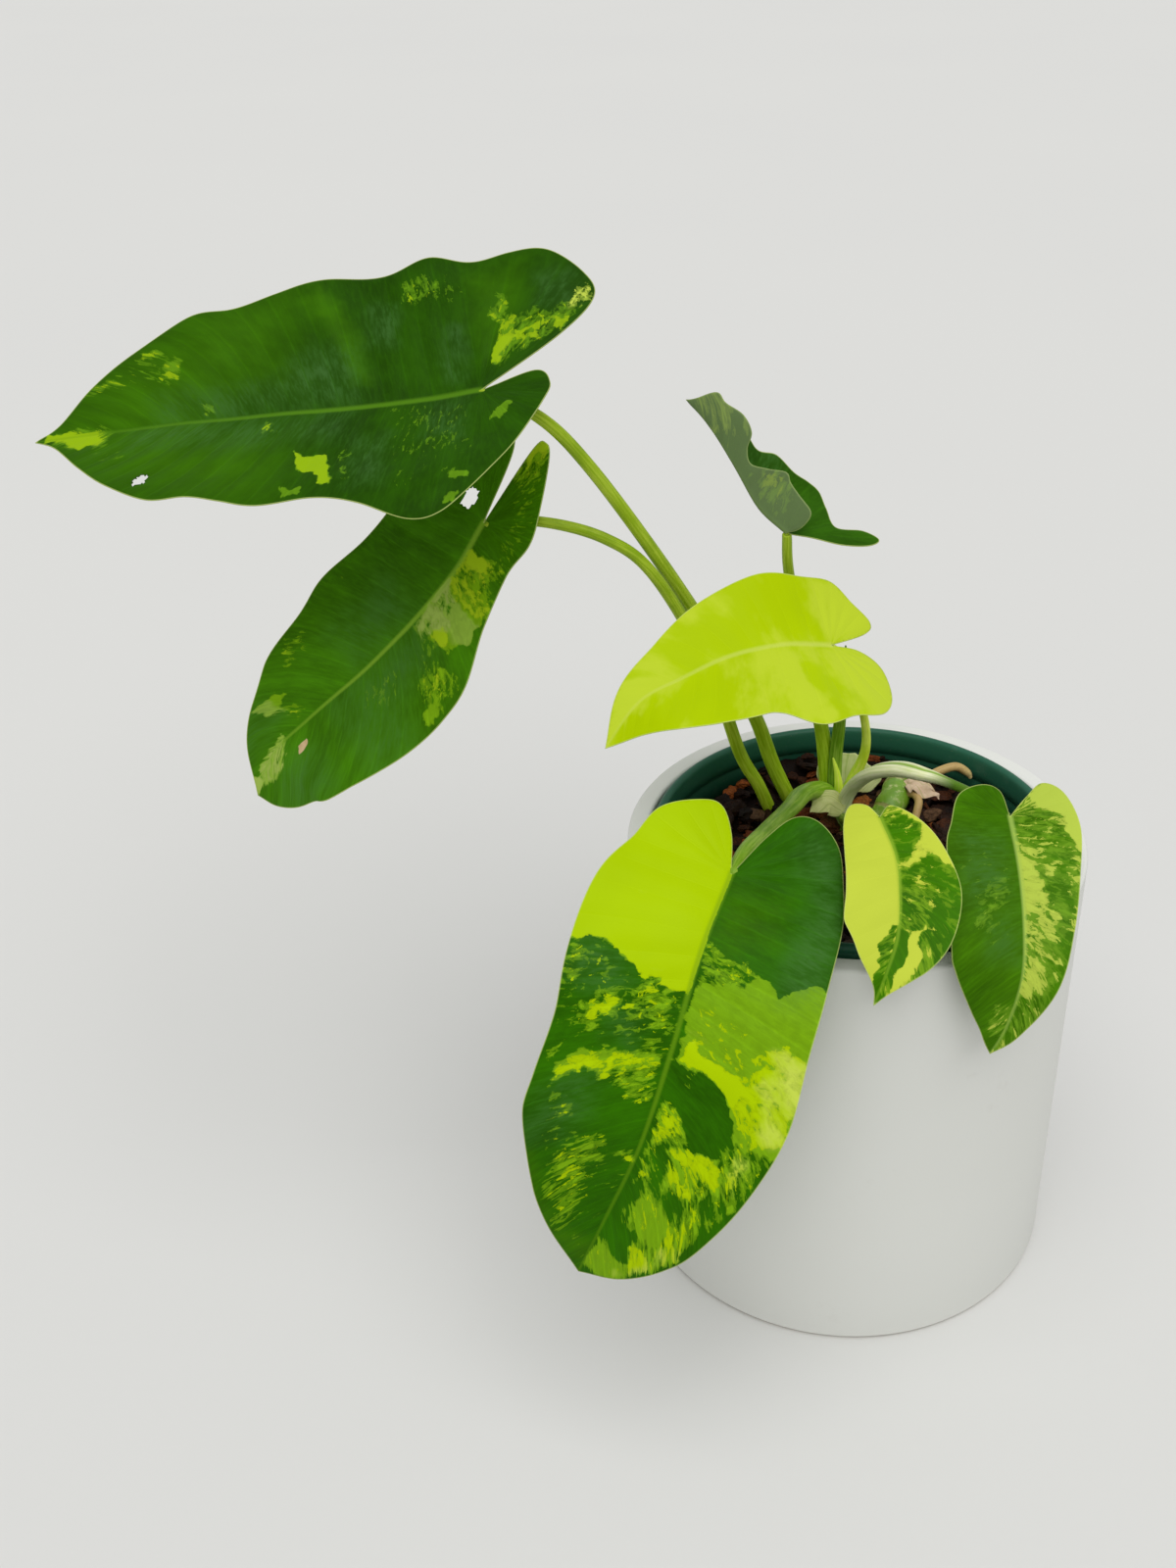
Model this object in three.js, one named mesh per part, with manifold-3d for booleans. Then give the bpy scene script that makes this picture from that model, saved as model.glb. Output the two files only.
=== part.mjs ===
// A potted variegated philodendron: a white cachepot, a nursery pot in it, bark mix,
// and a creeping stem with seven heart-shaped leaves. Millimetres, +Z up, the cachepot
// stands on Z = 0 with its centre at the origin, and the side in the photograph is -Y.
import * as THREE from "three";
import Module from "manifold-3d";

const wasm = await Module();
wasm.setup();
const { Manifold, Mesh } = wasm;

// Driving dimensions.
const lipRadius = 80;
const lipTop = 196;
const cachepotRadius = 90;
const cachepotHeight = 193;
const cachepotWall = 8;
const cachepotFloor = 8;
const clearance = 0.3;
const bladeClearance = 0.42;
const soilDepth = 16;
const bladeThickness = 0.9;
const sliver = 0.08;
const roundSides = 40;

// The plant's points are measured from the centre of the nursery pot's rim.
const fromLip = ([x, y, z, ...sizes]) => [x, y, z + lipTop, ...sizes];

// Vectors.
const add = (a, b) => a.map((value, i) => value + b[i]);
const scale = (a, k) => a.map((value) => value * k);
const subtract = (a, b) => a.map((value, i) => value - b[i]);
const dot = (a, b) => a[0] * b[0] + a[1] * b[1] + a[2] * b[2];
const cross = (a, b) => [
  a[1] * b[2] - a[2] * b[1],
  a[2] * b[0] - a[0] * b[2],
  a[0] * b[1] - a[1] * b[0],
];
const unit = (a) => scale(a, 1 / Math.hypot(...a));
const mix = (a, b, t) => a.map((value, i) => value + (b[i] - value) * t);
const clamp = (value, low, high) => Math.min(high, Math.max(low, value));
const radians = (degrees) => (degrees * Math.PI) / 180;

// A smooth curve through the given points, as many small steps.
function smoothCurve(points, steps) {
  const first = subtract(scale(points[0], 2), points[1]);
  const last = subtract(scale(points.at(-1), 2), points.at(-2));
  const all = [first, ...points, last];
  const curve = [];
  for (let i = 1; i < all.length - 2; i += 1) {
    for (let k = 0; k < steps; k += 1) {
      const t = k / steps;
      curve.push(
        all[i].map((p1, axis) => {
          const p0 = all[i - 1][axis];
          const p2 = all[i + 1][axis];
          const p3 = all[i + 2][axis];
          const bend = 2 * p0 - 5 * p1 + 4 * p2 - p3;
          const twist = -p0 + 3 * p1 - 3 * p2 + p3;
          return 0.5 * (2 * p1 + (p2 - p0) * t + bend * t * t + twist * t * t * t);
        }),
      );
    }
  }
  curve.push(points.at(-1));
  return curve;
}

// The running length along a curve, one value for each of its points.
function runningLength(curve) {
  const lengths = [0];
  for (let i = 1; i < curve.length; i += 1) {
    lengths.push(lengths[i - 1] + Math.hypot(...subtract(curve[i], curve[i - 1])));
  }
  return lengths;
}

// The value at a given reading, between the entries of a rising list.
function lookUp(readings, values, reading) {
  let i = 1;
  while (i < readings.length - 1 && readings[i] < reading) i += 1;
  const span = readings[i] - readings[i - 1];
  return mix(values[i - 1], values[i], clamp((reading - readings[i - 1]) / span, 0, 1));
}

// A closed solid from corner points and triangles, with equal corners made one.
function solidFrom(points, triangles) {
  const numbers = new Map();
  const corners = [];
  const renumber = points.map((point) => {
    const key = point.map((value) => Math.round(value * 1e4)).join();
    if (!numbers.has(key)) {
      numbers.set(key, corners.length);
      corners.push(point);
    }
    return numbers.get(key);
  });
  const kept = triangles
    .map((triangle) => triangle.map((corner) => renumber[corner]))
    .filter(([a, b, c]) => a !== b && b !== c && c !== a);
  const mesh = new Mesh({
    numProp: 3,
    vertProperties: new Float32Array(corners.flat()),
    triVerts: new Uint32Array(kept.flat()),
  });
  const solid = new Manifold(mesh);
  return solid.volume() < 0 ? solidFrom(points, triangles.map(([a, b, c]) => [a, c, b])) : solid;
}

// The largest of the pieces that a cut leaves, without the slivers along its cut edges.
function largestPiece(solid) {
  const pieces = solid.asOriginal().simplify(sliver).decompose();
  return pieces.reduce((best, piece) => (piece.volume() > best.volume() ? piece : best));
}

// A solid of revolution from a closed outline of [radius, height] points.
function turned(outline) {
  const points = [];
  const triangles = [];
  const count = outline.length;
  for (let i = 0; i < roundSides; i += 1) {
    const angle = (2 * Math.PI * i) / roundSides;
    for (const [radius, height] of outline) {
      points.push([radius * Math.cos(angle), radius * Math.sin(angle), height]);
    }
  }
  for (let i = 0; i < roundSides; i += 1) {
    const here = i * count;
    const next = ((i + 1) % roundSides) * count;
    for (let k = 0; k < count; k += 1) {
      const up = (k + 1) % count;
      triangles.push([here + k, next + k, next + up], [here + k, next + up, here + up]);
    }
  }
  return solidFrom(points, triangles);
}

// A round-ended stem through points [x, y, z, width, depth]. Width lies across, level with
// the ground, and depth stands square to it.
function stem(route, sides = 8, steps = 3, swell = 0) {
  const curve = smoothCurve(route.map(fromLip), steps);
  const points = [];
  const triangles = [];
  let across = [1, 0, 0];
  curve.forEach(([x, y, z, width, depth], i) => {
    const before = curve[Math.max(i - 1, 0)];
    const after = curve[Math.min(i + 1, curve.length - 1)];
    const along = unit(subtract(after.slice(0, 3), before.slice(0, 3)));
    across = unit(subtract(across, scale(along, dot(across, along))));
    const square = cross(along, across);
    for (let k = 0; k < sides; k += 1) {
      const angle = (2 * Math.PI * k) / sides;
      const sideways = scale(across, (width / 2 + swell) * Math.cos(angle));
      points.push(add([x, y, z], add(sideways, scale(square, (depth / 2 + swell) * Math.sin(angle)))));
    }
  });
  const rings = curve.length;
  for (let i = 0; i < rings - 1; i += 1) {
    for (let k = 0; k < sides; k += 1) {
      const right = (k + 1) % sides;
      const a = i * sides + k;
      const b = i * sides + right;
      triangles.push([a, b, b + sides], [a, b + sides, a + sides]);
    }
  }
  const start = points.push(curve[0].slice(0, 3)) - 1;
  const end = points.push(curve.at(-1).slice(0, 3)) - 1;
  for (let k = 0; k < sides; k += 1) {
    const right = (k + 1) % sides;
    triangles.push([start, right, k]);
    triangles.push([end, (rings - 1) * sides + k, (rings - 1) * sides + right]);
  }
  return solidFrom(points, triangles);
}

const rippleLength = 44;
const rippleReach = 40;

// How a blade's flat plan lies in space. In the plan the first number runs along the midrib
// from the leaf stalk to the tip, and the second across it, plus to one side.
function bladeSurface({ midrib, facing, rise, ripple = 1.5 }) {
  const curve = smoothCurve(midrib.map(fromLip), 24);
  const lengths = runningLength(curve);
  const length = lengths.at(-1);
  const startWay = unit(subtract(curve[3], curve[0]));
  const endWay = unit(subtract(curve.at(-1), curve.at(-4)));
  const onMidrib = (along) => {
    const inside = lookUp(lengths, curve, clamp(along, 0, length));
    const before = scale(startWay, Math.min(along, 0));
    return add(add(inside, before), scale(endWay, Math.max(along - length, 0)));
  };
  const place = ([along, across]) => {
    const way = unit(subtract(onMidrib(along + 2), onMidrib(along - 2)));
    const side = unit(cross(facing, way));
    const normal = cross(way, side);
    const sign = across < 0 ? -1 : 1;
    const reach = Math.abs(across);
    const turn = radians(across < 0 ? rise[1] : rise[0]);
    const wave = Math.sin((2 * Math.PI * along) / rippleLength + sign);
    const lift = reach * Math.sin(turn) + ripple * (reach / rippleReach) ** 2 * wave;
    return add(onMidrib(along), add(scale(side, sign * reach * Math.cos(turn)), scale(normal, lift)));
  };
  return { length, place };
}

const veinLead = 0.45;
const bladeColumns = [0, 0.1, 0.5, 1];
const ribTaper = 0.75;
const edgeSteps = 24;
const fanStep = 0.8;

// The rows of one half of a blade in its plan. Each row follows a side vein from the midrib
// to the edge, and the rows of the base lobe fan out from the leaf stalk.
function veinRows(edge, length, stations, fan) {
  const outline = smoothCurve([[0, 0], ...edge, [length, 0]], edgeSteps);
  let reached = 0;
  const roots = outline.map(([along, across]) => {
    reached = Math.max(reached, along - veinLead * Math.abs(across));
    return Math.min(reached, length);
  });
  const firstRooted = roots.findIndex((root) => root > 0);
  const distances = runningLength(outline);
  const fanStart = distances[edgeSteps];
  const fanEnd = distances[firstRooted];
  const rows = [{ root: [0, 0], tip: edge[0] }];
  for (let i = 1; i < fan; i += 1) {
    const tip = lookUp(distances, outline, fanStart + ((fanEnd - fanStart) * i) / fan);
    const last = rows.at(-1).tip;
    const apart = Math.abs(last[0] * tip[1] - last[1] * tip[0]) / Math.hypot(...tip);
    if (apart > fanStep) rows.push({ root: [0, 0], tip });
  }
  for (let i = 1; i < stations; i += 1) {
    const root = (length * i) / stations;
    const k = roots.findIndex((value) => value >= root);
    rows.push({ root: [root, 0], tip: outline[k] });
  }
  return rows;
}

// A thin blade, with a rib under its midrib. Both faces are split into the same triangles.
function blade(leaf, swell = 0) {
  const { stations = 15, fan = 8, thickness = bladeThickness, rib = 2 } = leaf;
  const surface = bladeSurface(leaf);
  const middle = [];
  const halves = [];
  const triangles = [];
  for (const [edge, flip] of [[leaf.left, false], [leaf.right, true]]) {
    const rows = veinRows(edge, surface.length, stations, fan);
    rows.push({ root: [surface.length, 0], tip: [surface.length, 0] });
    const first = middle.length;
    for (const { root, tip } of rows) {
      for (const column of bladeColumns) {
        const spot = mix(root, tip, column);
        const ribHere = spot[1] === 0 ? rib * (1 - ribTaper * (spot[0] / surface.length)) : 0;
        middle.push(surface.place(spot));
        halves.push(thickness / 2 + swell + ribHere / 2);
      }
    }
    const wide = bladeColumns.length;
    for (let i = 0; i < rows.length - 1; i += 1) {
      for (let k = 0; k < wide - 1; k += 1) {
        const a = first + i * wide + k;
        const c = a + wide + 1;
        const pair = [[a, a + wide, c], [a, c, a + 1]];
        triangles.push(...pair.map(([p, q, r]) => (flip ? [p, r, q] : [p, q, r])));
      }
    }
  }
  return thickened(middle, halves, triangles, thickness / 2 + swell);
}

// The room that a blade needs, with clearance over it, under it and beside its notch.
function bladeRoom(leaf) {
  const { place } = bladeSurface(leaf);
  const sideways = scale(unit(subtract(place([0, 1]), place([0, -1]))), bladeClearance);
  const swollen = blade(leaf, bladeClearance);
  const both = [swollen.translate(sideways), swollen.translate(scale(sideways, -1))];
  return Manifold.union([swollen, ...both]);
}

// Gives a sheet its thickness: the upper face lies half a blade above it, and the lower face
// as far below as `below` says for each point.
function thickened(middle, below, triangles, above) {
  const key = (point) => point.map((value) => Math.round(value * 1e3)).join();
  const normals = new Map();
  const uses = new Map();
  const names = middle.map(key);
  const full = triangles.filter(([a, b, c]) => {
    return names[a] !== names[b] && names[b] !== names[c] && names[c] !== names[a];
  });
  for (const [a, b, c] of full) {
    const normal = cross(subtract(middle[b], middle[a]), subtract(middle[c], middle[a]));
    for (const corner of [a, b, c]) {
      normals.set(names[corner], add(normals.get(names[corner]) ?? [0, 0, 0], normal));
    }
    for (const [p, q] of [[a, b], [b, c], [c, a]]) {
      const edge = `${names[p]}|${names[q]}`;
      uses.set(edge, [p, q]);
    }
  }
  const normalAt = (i) => unit(normals.get(names[i]) ?? [0, 0, 1]);
  const upper = middle.map((point, i) => add(point, scale(normalAt(i), above)));
  const lower = middle.map((point, i) => add(point, scale(normalAt(i), -below[i])));
  const count = middle.length;
  const walls = [];
  for (const [p, q] of uses.values()) {
    if (!uses.has(`${names[q]}|${names[p]}`)) {
      walls.push([q, p, p + count], [q, p + count, q + count]);
    }
  }
  const under = full.map(([a, b, c]) => [a + count, c + count, b + count]);
  return solidFrom([...upper, ...lower], [...full, ...under, ...walls]);
}

// The seven blades. Each edge runs from the notch at the leaf stalk round its base lobe to
// the tip, as [along, across] in the blade's plan.
const leaves = {
  leaf_1: {
    midrib: [[-138, -2, 175], [-168, -6, 171], [-208, -11, 168], [-249, -15, 165], [-303, -20, 159]],
    facing: [0, -0.46, 0.89],
    rise: [8, 8],
    left: [
      [-20, -5], [-25, 2], [-22, 12], [-13, 30], [-5, 42], [4, 54], [13, 62], [23, 62], [40, 52],
      [57, 47], [76, 48], [88, 45], [101, 41], [116, 40], [133, 30], [146, 18], [158, 5],
    ],
    right: [
      [-30, -19], [-43, -33], [-40, -45], [-28, -57], [-13, -60], [2, -59], [17, -63], [36, -59],
      [60, -59], [80, -56], [96, -50], [112, -48], [132, -35], [147, -21], [158, -6],
    ],
    stations: 19,
    fan: 10,
    ripple: 0.4,
  },
  leaf_2: {
    midrib: [[-144, 10, 120], [-158, 2, 99], [-186, -8, 70], [-214, -18, 47], [-228, -24, 34], [-236, -30, 17]],
    facing: [-0.2, -0.8, 0.6],
    rise: [10, 10],
    left: [
      [-33, 2], [-38, 6], [-34, 11], [-18, 19], [-4, 24], [12, 22], [28, 27], [46, 39],
      [60, 42], [77, 42], [92, 40], [110, 36], [126, 32], [138, 24], [144, 12],
    ],
    right: [
      [-30, -5], [-36, -14], [-28, -24], [-12, -31], [10, -35], [40, -37], [65, -39],
      [84, -35], [104, -30], [120, -20], [136, -7],
    ],
    stations: 17,
    ripple: 0.4,
  },
  leaf_3: {
    midrib: [[-12, 10, 74], [-29, -3, 80], [-48, -14, 80], [-65, -26, 76], [-79, -38, 72], [-90, -50, 59]],
    facing: [-0.1, -0.6, 0.8],
    rise: [14, 14],
    left: [
      [-12, 3], [-17, 13], [-12, 29], [-2, 38], [12, 39], [25, 42], [38, 34], [54, 32],
      [70, 26], [84, 21], [96, 9],
    ],
    right: [
      [-18, -5], [-22, -10], [-15, -18], [-6, -27], [10, -28], [26, -29], [46, -24],
      [66, -17], [88, -8],
    ],
    stations: 14,
    ripple: 0.6,
  },
  leaf_4: {
    midrib: [[-42, -72, 23], [-50, -99, 8], [-58, -120, -20], [-68, -134, -53], [-81, -141, -85], [-91, -143, -110]],
    facing: [0.1, -0.7, 0.7],
    rise: [10, 10],
    left: [
      [-18, 7], [-29, 14], [-30, 23], [-22, 33], [-8, 39], [10, 44], [34, 46], [56, 46],
      [79, 47], [100, 43], [120, 37], [140, 29], [158, 15],
    ],
    right: [
      [-14, -5], [-23, -12], [-22, -20], [-12, -33], [4, -38], [22, -44], [44, -45],
      [66, -43], [89, -44], [108, -43], [130, -34], [152, -18],
    ],
    stations: 18,
    fan: 9,
    ripple: 0.6,
  },
  leaf_5: {
    midrib: [[9, -49, 36], [15, -64, 30], [17, -78, 24], [17, -91, 15], [14, -101, 7], [10, -108, -3]],
    facing: [0.1, -0.7, 0.7],
    rise: [8, 8],
    left: [[-3, 5], [4, 11], [18, 17], [32, 21], [46, 19], [57, 13], [68, 4]],
    right: [[-6, -3], [-7, -9], [1, -14], [16, -18], [34, -19], [48, -19], [58, -13], [68, -3]],
    stations: 12,
    fan: 6,
    rib: 1.6,
    ripple: 0.8,
  },
  leaf_6: {
    midrib: [[56, -33, 29], [59, -52, 21], [61, -71, 9], [61, -83, -6], [57, -89, -23], [52, -92, -34]],
    facing: [0.2, -0.65, 0.68],
    rise: [10, 10],
    left: [[-8, 7], [-14, 14], [-9, 21], [6, 24], [25, 21], [46, 17], [64, 13], [84, 5]],
    right: [[-11, -2], [-13, -9], [-7, -19], [6, -24], [20, -28], [52, -28], [64, -25], [80, -14], [89, -6]],
    stations: 13,
    fan: 6,
    rib: 1.6,
    ripple: 0.8,
  },
  leaf_7: {
    midrib: [[-31, 30, 111], [-42, 38, 118], [-53, 45, 133], [-64, 51, 147], [-72, 55, 154]],
    facing: [0.8, 0.46, 0.5],
    rise: [55, 60],
    left: [
      [-4, 6], [-4, 13], [3, 15], [12, 17], [20, 18], [26, 12], [31, 7], [36, 9], [40, 14], [47, 15],
      [54, 12], [58, 12], [62, 5],
    ],
    right: [
      [-7, -8], [-16, -16], [-22, -25], [-22, -31], [-15, -29], [-8, -21], [1, -25], [9, -29],
      [15, -28], [21, -25], [30, -22], [35, -15], [44, -15], [54, -12], [62, -5],
    ],
    stations: 13,
    fan: 7,
    ripple: 0.6,
  },
};

// The creeping stem and the leaf stalks, as [x, y, z, width, depth]. A stalk runs from its
// blade down to the creeping stem.
const creepingStem = [
  [19, 53, -19, 9, 9], [17, 47, -11, 12, 12], [16, 37, -10, 12, 12], [9, 27, -17, 13, 13],
  [-4, 30, -19, 14, 14], [-12, 43, -17, 15, 15], [-23, 42, -24, 14, 14], [-34, 36, -30, 10, 10],
];

const stalks = {
  petiole_4: [
    [-42, -71, 22, 5, 4], [-38, -55, 22, 6.5, 4.5], [-32, -30, 15, 7.5, 5], [-25, -3, 8, 8, 5.5],
    [-21, 16, 3, 9, 6], [-15, 34, -6, 9, 8], [-10, 41, -14, 9, 9],
  ],
  petiole_1: [
    [-138, -2, 174, 4, 4], [-119, 3, 164, 4.6, 4.6], [-102, 9, 143, 5, 5], [-77, 21, 99, 5.4, 5.4],
    [-54, 31, 54, 5.8, 5.8], [-42, 37, 25, 6, 6], [-35, 40, 2, 6.4, 6.4], [-26, 42, -20, 6.4, 6.4],
  ],
  petiole_2: [
    [-143, 11, 118, 3.6, 3.6], [-123, 10, 121, 4, 4], [-98, 12, 114, 4.4, 4.4], [-80, 15, 98, 4.6, 4.6],
    [-60, 21, 57, 5, 5], [-48, 27, 15, 5.4, 5.4], [-40, 29, -2, 5.4, 5.4], [-33, 33, -22, 5.4, 5.4],
  ],
  petiole_7: [
    [-31, 31, 109, 4.6, 4.6], [-30, 34, 92, 5, 5], [-24, 40, 58, 5.4, 5.4], [-16, 45, 21, 6, 6],
    [-13, 47, -1, 6.6, 6.6], [-12, 46, -13, 6.6, 6.6],
  ],
  new_shoot: [
    [-7, 38, 60, 1, 1], [-7, 40, 45, 3.4, 3.4], [-8, 43, 22, 5, 5], [-9, 44, 5, 5.6, 5.6],
    [-9, 42, -13, 6, 6],
  ],
  petiole_3: [
    [-11, 12, 72, 2.6, 2.6], [-4, 22, 55, 3, 3], [2, 34, 29, 3.4, 3.4], [3, 40, 11, 4, 4],
    [-1, 43, -4, 5, 5], [-5, 42, -14, 5, 5],
  ],
  petiole_6: [
    [56, -31, 27, 3, 3], [46, -16, 26, 3.4, 3.4], [34, -3, 24, 4, 4], [27, 4, 22, 5, 4],
    [16, 14, 18, 8, 4], [6, 20, 12, 8.5, 4], [-1, 26, 2, 8, 4.5], [-4, 29, -7, 8, 5], [-5, 31, -16, 7, 6],
  ],
  petiole_5: [
    [9, -49, 35, 3, 3], [5, -20, 13, 3.4, 3.4], [0, 0, 1, 4, 4], [-3, 16, -8, 5, 5], [-4, 27, -15, 5, 5],
  ],
  spear: [[-10, 41, 6, 0.8, 0.8], [-8, 40, -1, 2.6, 2], [-7, 39, -8, 4, 3], [-7, 39, -13, 4, 3]],
  aerial_root_1: [
    [48, 55, -9, 1.4, 1.4], [46, 55, -6, 3.2, 3.2], [41, 54, -3, 3.7, 3.7], [34, 51, -4, 3.7, 3.7],
    [26, 48, -8, 3.7, 3.7], [18, 45, -10, 3.7, 3.7],
  ],
  aerial_root_2: [
    [25, 25, -20, 2.4, 2.4], [25, 27, -13, 3.2, 3.2], [26, 33, -8, 3.4, 3.4], [23, 37, -7, 3.4, 3.4],
    [16, 38, -9, 3.4, 3.4],
  ],
};

// Thin papery scales round the crown, made like small blades.
const scales = {
  bud_scale_1: {
    midrib: [[-3, 48, -14], [-3, 51, -6], [-1, 53, 2]],
    facing: [0, -0.8, 0.5],
    rise: [10, 10],
    left: [[0, 9], [7, 14], [13, 10]],
    right: [[0, -9], [7, -14], [13, -10]],
  },
  bud_scale_2: {
    midrib: [[-4, 24, -9], [-11, 23, -4], [-18, 18, -7]],
    facing: [0, -0.6, 0.8],
    rise: [-20, -20],
    left: [[1, 4], [7, 6], [13, 4]],
    right: [[1, -4], [7, -6], [13, -4]],
  },
  dried_scale: {
    midrib: [[20, 42, -4], [27, 38, -4], [35, 34, -7]],
    facing: [0, -0.4, 0.9],
    rise: [-25, 20],
    left: [[1, 3], [6, 5], [11, 3]],
    right: [[1, -4], [7, -5], [12, -3]],
  },
};
for (const scale of Object.values(scales)) {
  Object.assign(scale, { stations: 6, fan: 3, rib: 0, thickness: 0.8, ripple: 0 });
}

// The white outer pot: a straight cylinder with soft edges.
const rimSoft = 1.5;
const footSoft = 3;

function cachepotSolid() {
  const inner = cachepotRadius - cachepotWall;
  return turned([
    [0, 0], [cachepotRadius - footSoft, 0], [cachepotRadius, footSoft],
    [cachepotRadius, cachepotHeight - rimSoft], [cachepotRadius - rimSoft, cachepotHeight],
    [inner + rimSoft, cachepotHeight], [inner, cachepotHeight - rimSoft],
    [inner, cachepotFloor + footSoft], [inner - footSoft, cachepotFloor], [0, cachepotFloor],
  ]);
}

// The green nursery pot: thin, tapered, with a rolled lip, a step inside and drain holes.
const potWall = 2;
const potFoot = cachepotFloor + clearance;
const potFootRadius = 60;
const potThroatRadius = 76;
const potThroatHeight = lipTop - 13;
const potFloorTop = potFoot + 3;
const lipFall = 2.2;
const lipInner = lipRadius - 4.2;
const drainSides = 16;
const drainCount = 6;
const drainRadius = 6;
const drainCircle = 42;

function nurseryPotSolid() {
  let solid = turned([
    [0, potFoot], [potFootRadius - 1, potFoot], [potFootRadius, potFoot + 1.5],
    [potThroatRadius, potThroatHeight], [lipRadius - 0.6, potThroatHeight + 1],
    [lipRadius, potThroatHeight + 2], [lipRadius, lipTop - lipFall], [lipRadius - 0.7, lipTop - 0.6],
    [lipRadius - 2, lipTop], [lipInner + 0.9, lipTop - 0.6], [lipInner, lipTop - lipFall],
    [lipInner - 0.6, potThroatHeight], [potThroatRadius - potWall, potThroatHeight - 2],
    [potFootRadius - potWall, potFloorTop], [0, potFloorTop],
  ]);
  const drill = Manifold.cylinder(4 * potWall, drainRadius, drainRadius, drainSides, true);
  for (let i = 0; i < drainCount; i += 1) {
    const angle = (360 * i) / drainCount;
    solid = solid.subtract(drill.translate([drainCircle, 0, potFoot]).rotate([0, 0, angle]));
  }
  return solid;
}

// A repeatable stream of random numbers from 0 to 1.
function randomStream(seed) {
  let state = seed;
  return () => {
    state = (state + 0x6d2b79f5) | 0;
    let value = Math.imul(state ^ (state >>> 15), 1 | state);
    value = (value + Math.imul(value ^ (value >>> 7), 61 | value)) ^ value;
    return ((value ^ (value >>> 14)) >>> 0) / 4294967296;
  };
}

// A bark chip: a flat block with slanted ends.
function barkChip(length, width, height) {
  const shape = [
    [-1, -1, -1], [1, -0.7, -1], [0.8, 1, -1], [-0.9, 0.8, -1],
    [-0.8, -0.8, 1], [0.9, -0.9, 1], [0.6, 0.7, 1], [-0.7, 1, 1],
  ];
  return Manifold.hull(
    shape.map(([x, y, z]) => [(x * length) / 2, (y * width) / 2, (z * height) / 2]),
  );
}

// The potting mix: a plug that fills the nursery pot, with bark chips over its top.
const chipCount = 50;
const seed = 7;
const goldenAngle = 137.5;
const plugTop = lipTop - soilDepth - 2;

function pottingMixSolid() {
  const random = randomStream(seed);
  const between = (low, high) => low + (high - low) * random();
  const wallAt = (z) => {
    const share = (z - potFloorTop) / (potThroatHeight - 2 - potFloorTop);
    return potFootRadius - potWall + (potThroatRadius - potFootRadius) * share - clearance;
  };
  const low = potFloorTop + clearance;
  const edge = wallAt(plugTop);
  const plug = turned([[0, low], [wallAt(low), low], [edge, plugTop], [0, plugTop + 1.5]]);
  const chips = [];
  for (let i = 0; i < chipCount; i += 1) {
    const length = between(8, 17);
    const width = between(5, 10);
    const height = between(4, 7);
    const reach = (edge - length / 2 - 3) * Math.sqrt((i + 0.5) / chipCount);
    const turnAngle = radians(goldenAngle * i);
    const tilt = [between(-20, 20), between(-20, 20), between(0, 360)];
    const lift = between(plugTop + 0.5, plugTop + 2);
    const chip = barkChip(length, width, height).rotate(tilt);
    chips.push(chip.translate([reach * Math.cos(turnAngle), reach * Math.sin(turnAngle), lift]));
  }
  return Manifold.union([plug, ...chips]);
}

const colours = {
  cachepot: 0xf2f2ef,
  nursery_pot: 0x1f4a3d,
  potting_mix: 0x2e1c14,
  creeping_stem: 0x6f9a1c,
  leaf: 0x4f8a1e,
  lime: 0xb2cf1e,
  stalk: 0x7fa82a,
  root: 0xd9c17a,
  scale: 0xc9c98a,
};

function colourOf(name) {
  if (name in colours) return colours[name];
  if (name === "leaf_3" || name === "petiole_3") return colours.lime;
  if (name.includes("root")) return colours.root;
  if (name.includes("scale")) return colours.scale;
  return name.startsWith("leaf") ? colours.leaf : colours.stalk;
}

// All solids, each cut clear of the ones that it springs from or stands in.
function buildSolids() {
  const solids = { cachepot: cachepotSolid(), nursery_pot: nurseryPotSolid() };
  const kept = [];
  const room = [];
  const keep = (name, solid, swollen) => {
    kept.push([name, solid]);
    room.push(swollen);
  };
  for (const [name, leaf] of Object.entries(leaves)) {
    keep(name, blade(leaf), bladeRoom(leaf));
  }
  keep("creeping_stem", stem(creepingStem, 10), stem(creepingStem, 10, 3, clearance));
  for (const [name, route] of Object.entries(stalks)) {
    const clear = Manifold.union(room);
    keep(name, largestPiece(stem(route).subtract(clear)), stem(route, 8, 3, clearance));
  }
  for (const [name, scale] of Object.entries(scales)) {
    const clear = Manifold.union(room);
    keep(name, largestPiece(blade(scale).subtract(clear)), bladeRoom(scale));
  }
  solids.potting_mix = largestPiece(pottingMixSolid().subtract(Manifold.union(room)));
  for (const [name, solid] of kept) solids[name] = solid;
  return solids;
}

function meshOf(name, solid) {
  const { vertProperties, triVerts, numProp } = solid.getMesh();
  const positions = [];
  for (let i = 0; i < vertProperties.length; i += numProp) {
    positions.push(vertProperties[i], vertProperties[i + 1], vertProperties[i + 2]);
  }
  const geometry = new THREE.BufferGeometry();
  geometry.setAttribute("position", new THREE.Float32BufferAttribute(positions, 3));
  geometry.setIndex([...triVerts]);
  geometry.computeVertexNormals();
  const material = new THREE.MeshStandardMaterial({ color: colourOf(name), roughness: 0.6 });
  material.side = THREE.DoubleSide;
  const mesh = new THREE.Mesh(geometry, material);
  mesh.name = name;
  return mesh;
}

const group = new THREE.Group();
group.name = "potted_philodendron";
for (const [name, solid] of Object.entries(buildSolids())) group.add(meshOf(name, solid));

export default group;
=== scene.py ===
import math
import random

import bmesh
import bpy
import numpy as np
from mathutils import Matrix, Vector, noise
from mathutils.geometry import delaunay_2d_cdt


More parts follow.
